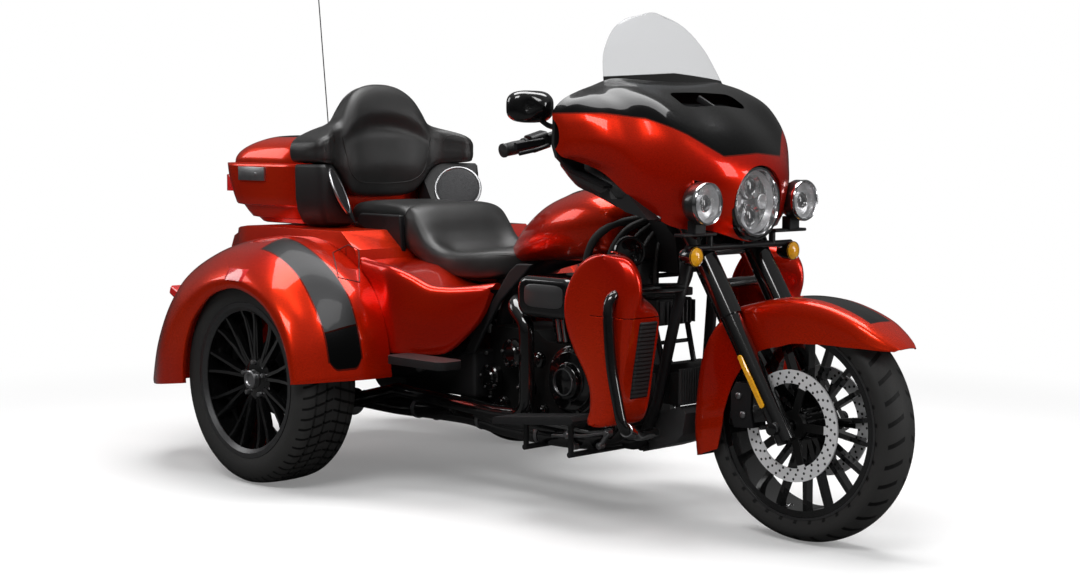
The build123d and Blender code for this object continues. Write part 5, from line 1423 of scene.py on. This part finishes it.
cover_y = -0.151                # the outer face of the crankcase's right side
bolts = [bolt(x, -0.1695, z, 0.0055, 12) for x, z in row_round(0.289, 0.375, 0.092, 8, 0.3)]
bolts += [bolt(x, cover_y, z, 0.0055, 12) for x, z in (
    (0.1, 0.3), (0.02, 0.26), (-0.08, 0.3), (-0.1, 0.42), (0.05, 0.46), (0.16, 0.25))]
fitted(joined("engine_bolts", [rounded(piece, 0.0012, 2, 30) for piece in bolts]), steel, "chassis", 30)
boss_rows = [
    # x, z, radius, how proud
    (0.020, 0.430, 0.046, 0.016), (0.085, 0.330, 0.032, 0.022), (-0.070, 0.350, 0.042, 0.026),
    (0.130, 0.420, 0.026, 0.014), (-0.020, 0.275, 0.024, 0.020), (0.150, 0.270, 0.020, 0.016)]
bosses = []
for x, z, radius, proud in boss_rows:
    bosses.append(turned("boss", [
        (0.0001, proud), (radius * 0.45, proud), (radius * 0.55, proud - 0.004),
        (radius * 0.85, proud - 0.005), (radius * 0.96, proud - 0.009), (radius, -0.004),
        (0.0001, -0.004)], Vector((x, cover_y, z)), 40))
fitted(joined("crankcase_bosses", bosses), gloss_black, "chassis")
studs = [bolt(x, cover_y - proud, z, 0.0042, 10)
         for middle_x, middle_z, radius, proud in ((0.02, 0.43, 0.038, 0.012), (-0.07, 0.35, 0.034, 0.02),
                                                   (0.085, 0.330, 0.025, 0.020))
         for x, z in row_round(middle_x, middle_z, radius, 5, 0.4)]
fitted(rounded(joined("crankcase_studs", studs), 0.0008, 2, 30), steel, "chassis")

# ------------------------------------------------------------------ frame covers and small chassis parts
# Black moulded covers close the frame under the seat; hoses, a horn and a
# finned regulator hang at the steering head, and a fat pipe crosses low down.
def plate_of(name, outline, start, thick, finish, width=0.004):
    """A flat plate: outline gives (x, z), start is the side it begins on, thick how far it runs along Y."""
    piece = outward(lofted(name, [[(x, y, z) for x, z in outline] for y in (start, start + thick)]), 20)
    return fitted(rounded(piece, width, 3, 30), finish, "chassis")


def block_of(name, low, high, finish, width=0.004):
    """A box between two corners with its edges rolled."""
    low, high = Vector(low), Vector(high)
    piece = box((low + high) / 2, high - low, width, 3)
    piece.name = name
    return fitted(piece, finish, "chassis")


frame_outline = [(-0.15, 0.415), (-0.098, 0.5), (-0.02, 0.59), (0.05, 0.68), (0.085, 0.706), (0.15, 0.708),
                 (0.12, 0.68), (0.013, 0.589), (-0.06, 0.49), (-0.1, 0.425)]
seat_outline = [(-0.655, 0.8), (-0.636, 0.832), (-0.436, 0.832), (-0.424, 0.715), (-0.492, 0.712),
                (-0.56, 0.762)]
sill_rows = [(-0.43, 0.38, 0.698), (-0.33, 0.38, 0.688), (-0.27, 0.376, 0.68), (-0.215, 0.354, 0.658),
             (-0.165, 0.322, 0.629), (-0.128, 0.29, 0.622), (-0.098, 0.265, 0.623), (-0.04, 0.216, 0.631)]
for side, name in sides:
    plate_of(f"frame_cover_{name}", frame_outline, side * 0.188, side * 0.014, moulded)
    plate_of(f"seat_side_panel_{name}", seat_outline, side * 0.196, side * 0.020, satin_black, 0.005)
    sill = lofted(f"under_seat_sill_{name}", [
        handed(side, [(x, 0.150, low + 0.004), (x, out, low), (x, out, low - 0.012), (x, 0.150, low - 0.012)])
        for x, out, low in sill_rows])
    fitted(sill, candy, "chassis", 40)
block_of("electrics_tray", (-0.45, -0.19, 0.282), (-0.11, 0.19, 0.43), moulded, 0.012)
pipe_line = [(-0.56, -0.262, 0.24), (-0.4, -0.256, 0.236), (-0.2, -0.246, 0.24), (-0.06, -0.238, 0.238),
             (0.09, -0.236, 0.222), (0.3, -0.232, 0.22), (0.42, -0.215, 0.226), (0.48, -0.17, 0.24)]
fitted(rod("crossover_pipe", spline_through(pipe_line, 60), 0.029, 32), gloss_black, "chassis")
band_section = [(0.0285, -0.006), (0.031, -0.006), (0.0315, 0.0), (0.031, 0.006), (0.0285, 0.006)]
bands = [turned("pipe_band", band_section, Vector(middle), 48, facing)
         for middle in ((-0.3, -0.2515, 0.238), (-0.02, -0.237, 0.2345), (0.23, -0.2345, 0.22))]
fitted(joined("pipe_bands", bands), steel, "chassis")

hoses = [
    # radius, line
    (0.01, [(0.47, -0.06, 0.845), (0.455, -0.12, 0.82), (0.43, -0.15, 0.77), (0.4, -0.15, 0.7),
             (0.370, -0.140, 0.640)]),
    (0.007, [(0.48, -0.045, 0.835), (0.48, -0.11, 0.8), (0.465, -0.14, 0.74), (0.43, -0.135, 0.68),
             (0.400, -0.120, 0.640)]),
    (0.008, [(0.49, -0.04, 0.815), (0.505, -0.095, 0.78), (0.5, -0.12, 0.72), (0.48, -0.11, 0.65),
             (0.450, -0.090, 0.600)]),
    (0.006, [(0.5, -0.03, 0.8), (0.525, -0.07, 0.76), (0.53, -0.085, 0.7), (0.52, -0.07, 0.64),
             (0.515, -0.050, 0.600)]),
    (0.012, [(0.455, -0.05, 0.85), (0.42, -0.13, 0.835), (0.38, -0.165, 0.8), (0.35, -0.17, 0.75),
             (0.330, -0.160, 0.690)]),
    (0.008, [(0.5, 0.03, 0.8), (0.525, 0.06, 0.76), (0.53, 0.07, 0.7), (0.515, 0.06, 0.64)]),
]
hose_parts = [rod("hose", spline_through(line, 30), radius, 24) for radius, line in hoses]
fitted(joined("steering_head_hoses", hose_parts), rubber, "chassis")
block_of("ignition_box", (0.44, -0.15, 0.655), (0.52, -0.05, 0.735), moulded, 0.01)
block_of("regulator_plate", (0.505, -0.098, 0.628), (0.54, 0.07, 0.652), satin_black)
block_of("regulator", (0.5, -0.088, 0.548), (0.545, 0.062, 0.624), cast_black, 0.006)
fin_rows = [
    # how many, first y, pitch, thickness, rear and front x, low and high z
    (9, -0.080, 0.0165, 0.005, 0.545, 0.560, 0.554, 0.618),
    (18, -0.094, 0.0105, 0.0035, 0.6305, 0.6400, 0.336, 0.436),
]
fins = []
for count, start, pitch, thick, rear, front, low, high in fin_rows:
    for y in [start + number * pitch for number in range(count)]:
        fins.append(block_of("fin", (rear, y, low), (front, y + thick, high), cast_black, 0.001))
fitted(joined("cooling_fins", fins), satin_grey, "chassis")
stays = [rod("stay", [(0.530, y, 0.550), (0.560, y * 0.95, 0.435)], 0.008) for y in (-0.082, 0.056)]
stays += [rod("cross_stay", [(0.54, -0.09, 0.5), (0.54, 0.062, 0.5)], 0.006),
          rod("cross_stay", [(0.52, -0.098, 0.69), (0.52, 0.07, 0.69)], 0.007)]
fitted(joined("cooler_stays", stays), satin_black, "chassis")
horn = turned("horn", [(0.0001, 0.012), (0.018, 0.012), (0.03, 0.008), (0.043, 0.01), (0.046, 0.004),
                       (0.04, -0.012), (0.0001, -0.02)],
              Vector((0.505, -0.165, 0.760)), 48, (0, math.radians(80), math.radians(-30)))
fitted(horn, gloss_black, "chassis")

# ------------------------------------------------------------------ engine guard
# A bent tube on each side, bright where it is clamped to the frame.
guard_line = [(0.613, 0.066, 0.66), (0.63, 0.2, 0.667), (0.645, 0.32, 0.671), (0.649, 0.375, 0.66),
              (0.646, 0.396, 0.632), (0.652, 0.4, 0.56), (0.664, 0.401, 0.47), (0.686, 0.401, 0.38),
              (0.702, 0.4, 0.325), (0.706, 0.385, 0.304), (0.69, 0.34, 0.29), (0.64, 0.262, 0.27),
              (0.600, 0.160, 0.262)]
guards = [rod("guard", spline_through(handed(side, guard_line), 90), 0.0155, 32) for side, name in sides]
guard_pair = fitted(joined("engine_guard_tubes", guards), gloss_black, "chassis")
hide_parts("engine_guard")
feet = [rod("foot", handed(side, [(0.7055, 0.388, 0.306), (0.696, 0.356, 0.294)]), 0.0195, 32)
        for side, name in sides]
fitted(rounded(joined("guard_clamps", feet), 0.003, 3, 30), chrome, "chassis")

# ------------------------------------------------------------------ seat base
# A black moulded base fills the gap between the passenger's pillow and the
# painted deck.
base_rows = [(-0.768, 0.15, 0.786, 0.797), (-0.65, 0.205, 0.787, 0.806), (-0.56, 0.213, 0.787, 0.812),
             (-0.5, 0.212, 0.783, 0.812), (-0.468, 0.206, 0.765, 0.806), (-0.44, 0.2, 0.735, 0.79)]
seat_base = lofted("seat_base_moulding", [
    [(x, -half, low), (x, -half, high - 0.006), (x, 0.010 - half, high), (x, half - 0.010, high),
     (x, half, high - 0.006), (x, half, low)] for x, half, low, high in base_rows])
fitted(rounded(outward(seat_base, 30), 0.004, 2, 30), moulded, "chassis")

# ------------------------------------------------------------------ handlebar controls
# Rubber grips ribbed all round, cast levers, and oval mirrors on short stems.
grip_rubber, grip_shader, place = new_finish("grip_rubber")
rib = place.axis("Y").math("FRACT", place.axis("Y") * 160.0)
# Each rib is painted darker in its groove and lighter on top: painted shade and light.
feed(grip_shader, Base_Color=rib.mix((0.008, 0.008, 0.008, 1), (0.018, 0.018, 0.018, 1)),
     Roughness=rib * 0.1 + 0.5, Normal=(rib > 0.4).bump(0.6, 0.0015))
mirror_glass = plain("mirror_glass", ((0.7, 0.72, 0.74), (0.78, 0.8, 0.82)), (0.02, 0.02), noise=(12.0,),
                     Metallic=1.0)
grip_profile = ((0.0, 0.0195), (0.004, 0.0215), (0.01, 0.0215), (0.012, 0.018), (0.045, 0.019),
                (0.078, 0.018), (0.08, 0.02), (0.085, 0.0195), (0.0865, 0.012))   # reach, radius
lever_line = [(0.352, 0.33, 1.062), (0.368, 0.362, 1.054), (0.366, 0.4, 1.044), (0.352, 0.446, 1.034)]
grips = []
levers = []
for side, name in sides:
    along = Vector((-8, side * 85, -16)).normalized()
    start = Vector((0.3035, side * 0.372, 1.0575))
    cross = along.cross(Vector((0, 0, 1))).normalized()
    rise = cross.cross(along).normalized()
    ways = [cross * math.cos(turn) + rise * math.sin(turn) for turn in angles(32)]
    rings = [[start + along * reach + way * radius for way in ways] for reach, radius in grip_profile]
    grips.append(outward(lofted("grip", rings), 50))
    levers.append(rod("lever", spline_through(handed(side, lever_line), 24), 0.0058))
fitted(joined("handlebar_grips", grips), grip_rubber, "steering")
fitted(joined("brake_and_clutch_levers", levers), satin_black, "steering")

mirror_half = (0.0660, 0.0440)
mirror_turn = 0.16              # how far a mirror is turned in, per unit of its width
mirror_power = 0.62
shell_rows = ((0.0225, 0.25), (0.0205, 0.55), (0.012, 0.86), (0.0, 0.985), (-0.014, 1.0), (-0.026, 0.97),
              (-0.032, 0.92), (-0.033, 0.86))     # depth, share of the full size
face_rows = ((-0.0335, 0.84), (-0.0345, 0.83), (-0.0347, 0.4))
stem_line = [(0.384, 0.398, 1.128), (0.41, 0.393, 1.112), (0.445, 0.389, 1.104)]


def mirror_rings(side, rows):
    """Oval rings across a mirror, one for each depth."""
    centre = Vector((0.386, side * 0.4270, 1.1625))
    rings = []
    for depth, share in rows:
        rings.append([centre + Vector((depth - side * mirror_turn * mirror_half[0] * math.cos(turn),
                                       mirror_half[0] * share * squared(turn, mirror_power)[0],
                                       mirror_half[1] * share * squared(turn, mirror_power)[1]))
                      for turn in angles(48)])
    return rings


mirror_parts = []
for side, name in sides:
    mirror_parts += [outward(lofted("mirror_shell", mirror_rings(side, shell_rows)), 50),
                     rod("mirror_stem", spline_through(handed(side, stem_line), 16), 0.0075)]
    fitted(lofted(f"mirror_face_{name}", mirror_rings(side, face_rows)), mirror_glass, "steering", 50)
mirrors = fitted(joined("mirror_shells", mirror_parts), gloss_black, "steering", 50)
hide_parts("mirrors")

# ------------------------------------------------------------------ fork dress
# Amber reflectors on the sliders, a black axle nut, and plain caliper bolts.
reflector_ends = ((0.975, 0.372), (0.893, 0.503))
reflector_edge = ((-1, -0.004), (-1, -0.0015), (-0.7, 0.0005), (0.7, 0.0005), (1, -0.0015), (1, -0.004))
# share of the way up, half width
reflector_rows = ((0.0, 0.004), (0.03, 0.008), (0.5, 0.0085), (0.97, 0.008), (1.0, 0.004))
nut_section = [(0.0001, 0.012), (0.009, 0.012), (0.0165, 0.01), (0.0175, 0.006), (0.0175, -0.006),
               (0.0001, -0.006)]
pin_section = [(0.0001, 0.006), (0.006, 0.006), (0.009, 0.004), (0.01, -0.004), (0.0001, -0.004)]
pins = []
for side, name in sides:
    low, high = (Vector((x, side * 0.1535, z)) for x, z in reflector_ends)
    run = (high - low).normalized()
    width_way = Vector((run.z, 0, -run.x))
    rings = [[low + (high - low) * t + width_way * (half * s) + Vector((0, side * d, 0))
              for s, d in reflector_edge]
             for t, half in reflector_rows]
    fitted(lofted(f"fork_reflector_{name}", rings), amber_lens, "steering", 30)
    out_facing = (-side * quarter, 0, 0)
    middle = Vector((front_axle.x, side * 0.1500, front_axle.z))
    fitted(turned(f"front_axle_nut_{name}", nut_section, middle, 32, out_facing), gloss_black, "steering")
    pins += [turned("pin", pin_section, Vector((x, side * 0.112, z)), 24, out_facing)
             for x, z in ((0.862, 0.388), (0.878, 0.338))]
fitted(joined("caliper_pins", pins), steel, "steering")

# ------------------------------------------------------------------ body marks
# A pressed five-sided line on each flank, drawn as a thin bead in a dark red that paints
# the shade of the pressing, and a red reflector on each rear fender, both laid on the painted surface.
def on_side(pieces, point, direction):
    """The nearest point where a line through point meets one of the pieces."""
    start = Vector(point) - Vector(direction) * 0.6
    casts = [piece.ray_cast(start, Vector(direction)) for piece in pieces]
    met = [place for hit, place, normal, index in casts if hit]
    return min(met, key=lambda place: (place - start).length)


bpy.context.view_layer.update()
flank_corners = [(-0.554, 0.715), (-0.474, 0.744), (-0.422, 0.73), (-0.422, 0.632), (-0.528, 0.642)]
flank_out = 0.390
reflector_heights = (0.637, 0.6375, 0.646, 0.655, 0.664, 0.6725, 0.673)
reflector_columns = 12
for side, name in sides:
    aim = Vector((-0.079, -side * 0.060, -0.006)).normalized()
    marks = []
    for (x, z), (next_x, next_z) in zip(flank_corners, flank_corners[1:] + flank_corners[:1]):
        for t in [k / 12 for k in range(12)]:
            point = (x + (next_x - x) * t, side * flank_out, z + (next_z - z) * t)
            marks.append(on_side([rear_body, rear_fenders], point, aim))
    # The bead's dark red is painted shade along the pressed line.
    piping(f"flank_line_{name}", marks + marks[:1], 0.0020, crease_shade_red)
    rows = []
    for z in reflector_heights:
        row = []
        for k in range(reflector_columns + 1):
            point = (-0.706 + 0.098 * k / reflector_columns, side * 0.66, z)
            place = on_side([rear_fenders], point, (0, -side, 0))
            at_edge = z in (reflector_heights[0], reflector_heights[-1]) or k in (0, reflector_columns)
            row.append(place + Vector((0, 0 if at_edge else side * 0.0030, 0)))
        rows.append(row)
    patch = lofted(f"side_reflector_{name}_rear", rows, loop=False, caps=False)
    fitted(patch, red_lens, "chassis", 40)

# ------------------------------------------------------------------ pedal linkage
# A rod under each rider board joins two bolted levers, as on a brake or shift linkage.
for side, name in sides:
    out = side * 0.262
    links = [rod("link", [(x, out, z) for x, z in line], radius) for radius, line in (
        (0.005, ((0.3, 0.226), (0.366, 0.234), (0.44, 0.243), (0.52, 0.262))),
        (0.007, ((0.366, 0.239), (0.392, 0.207))), (0.007, ((0.52, 0.262), (0.492, 0.222))))]
    for x, z, radius in ((0.366, 0.239, 0.0125), (0.392, 0.207, 0.0095), (0.52, 0.262, 0.0115),
                         (0.492, 0.222, 0.0095)):
        links.append(turned("link_bolt", [
            (0.0001, 0.014), (radius * 0.5, 0.014), (radius * 0.6, 0.010), (radius, 0.009), (radius, -0.009),
            (0.0001, -0.009)], Vector((x, out, z)), 32, (-side * quarter, 0, 0)))
    fitted(joined(f"pedal_linkage_{name}", links), steel, "chassis")
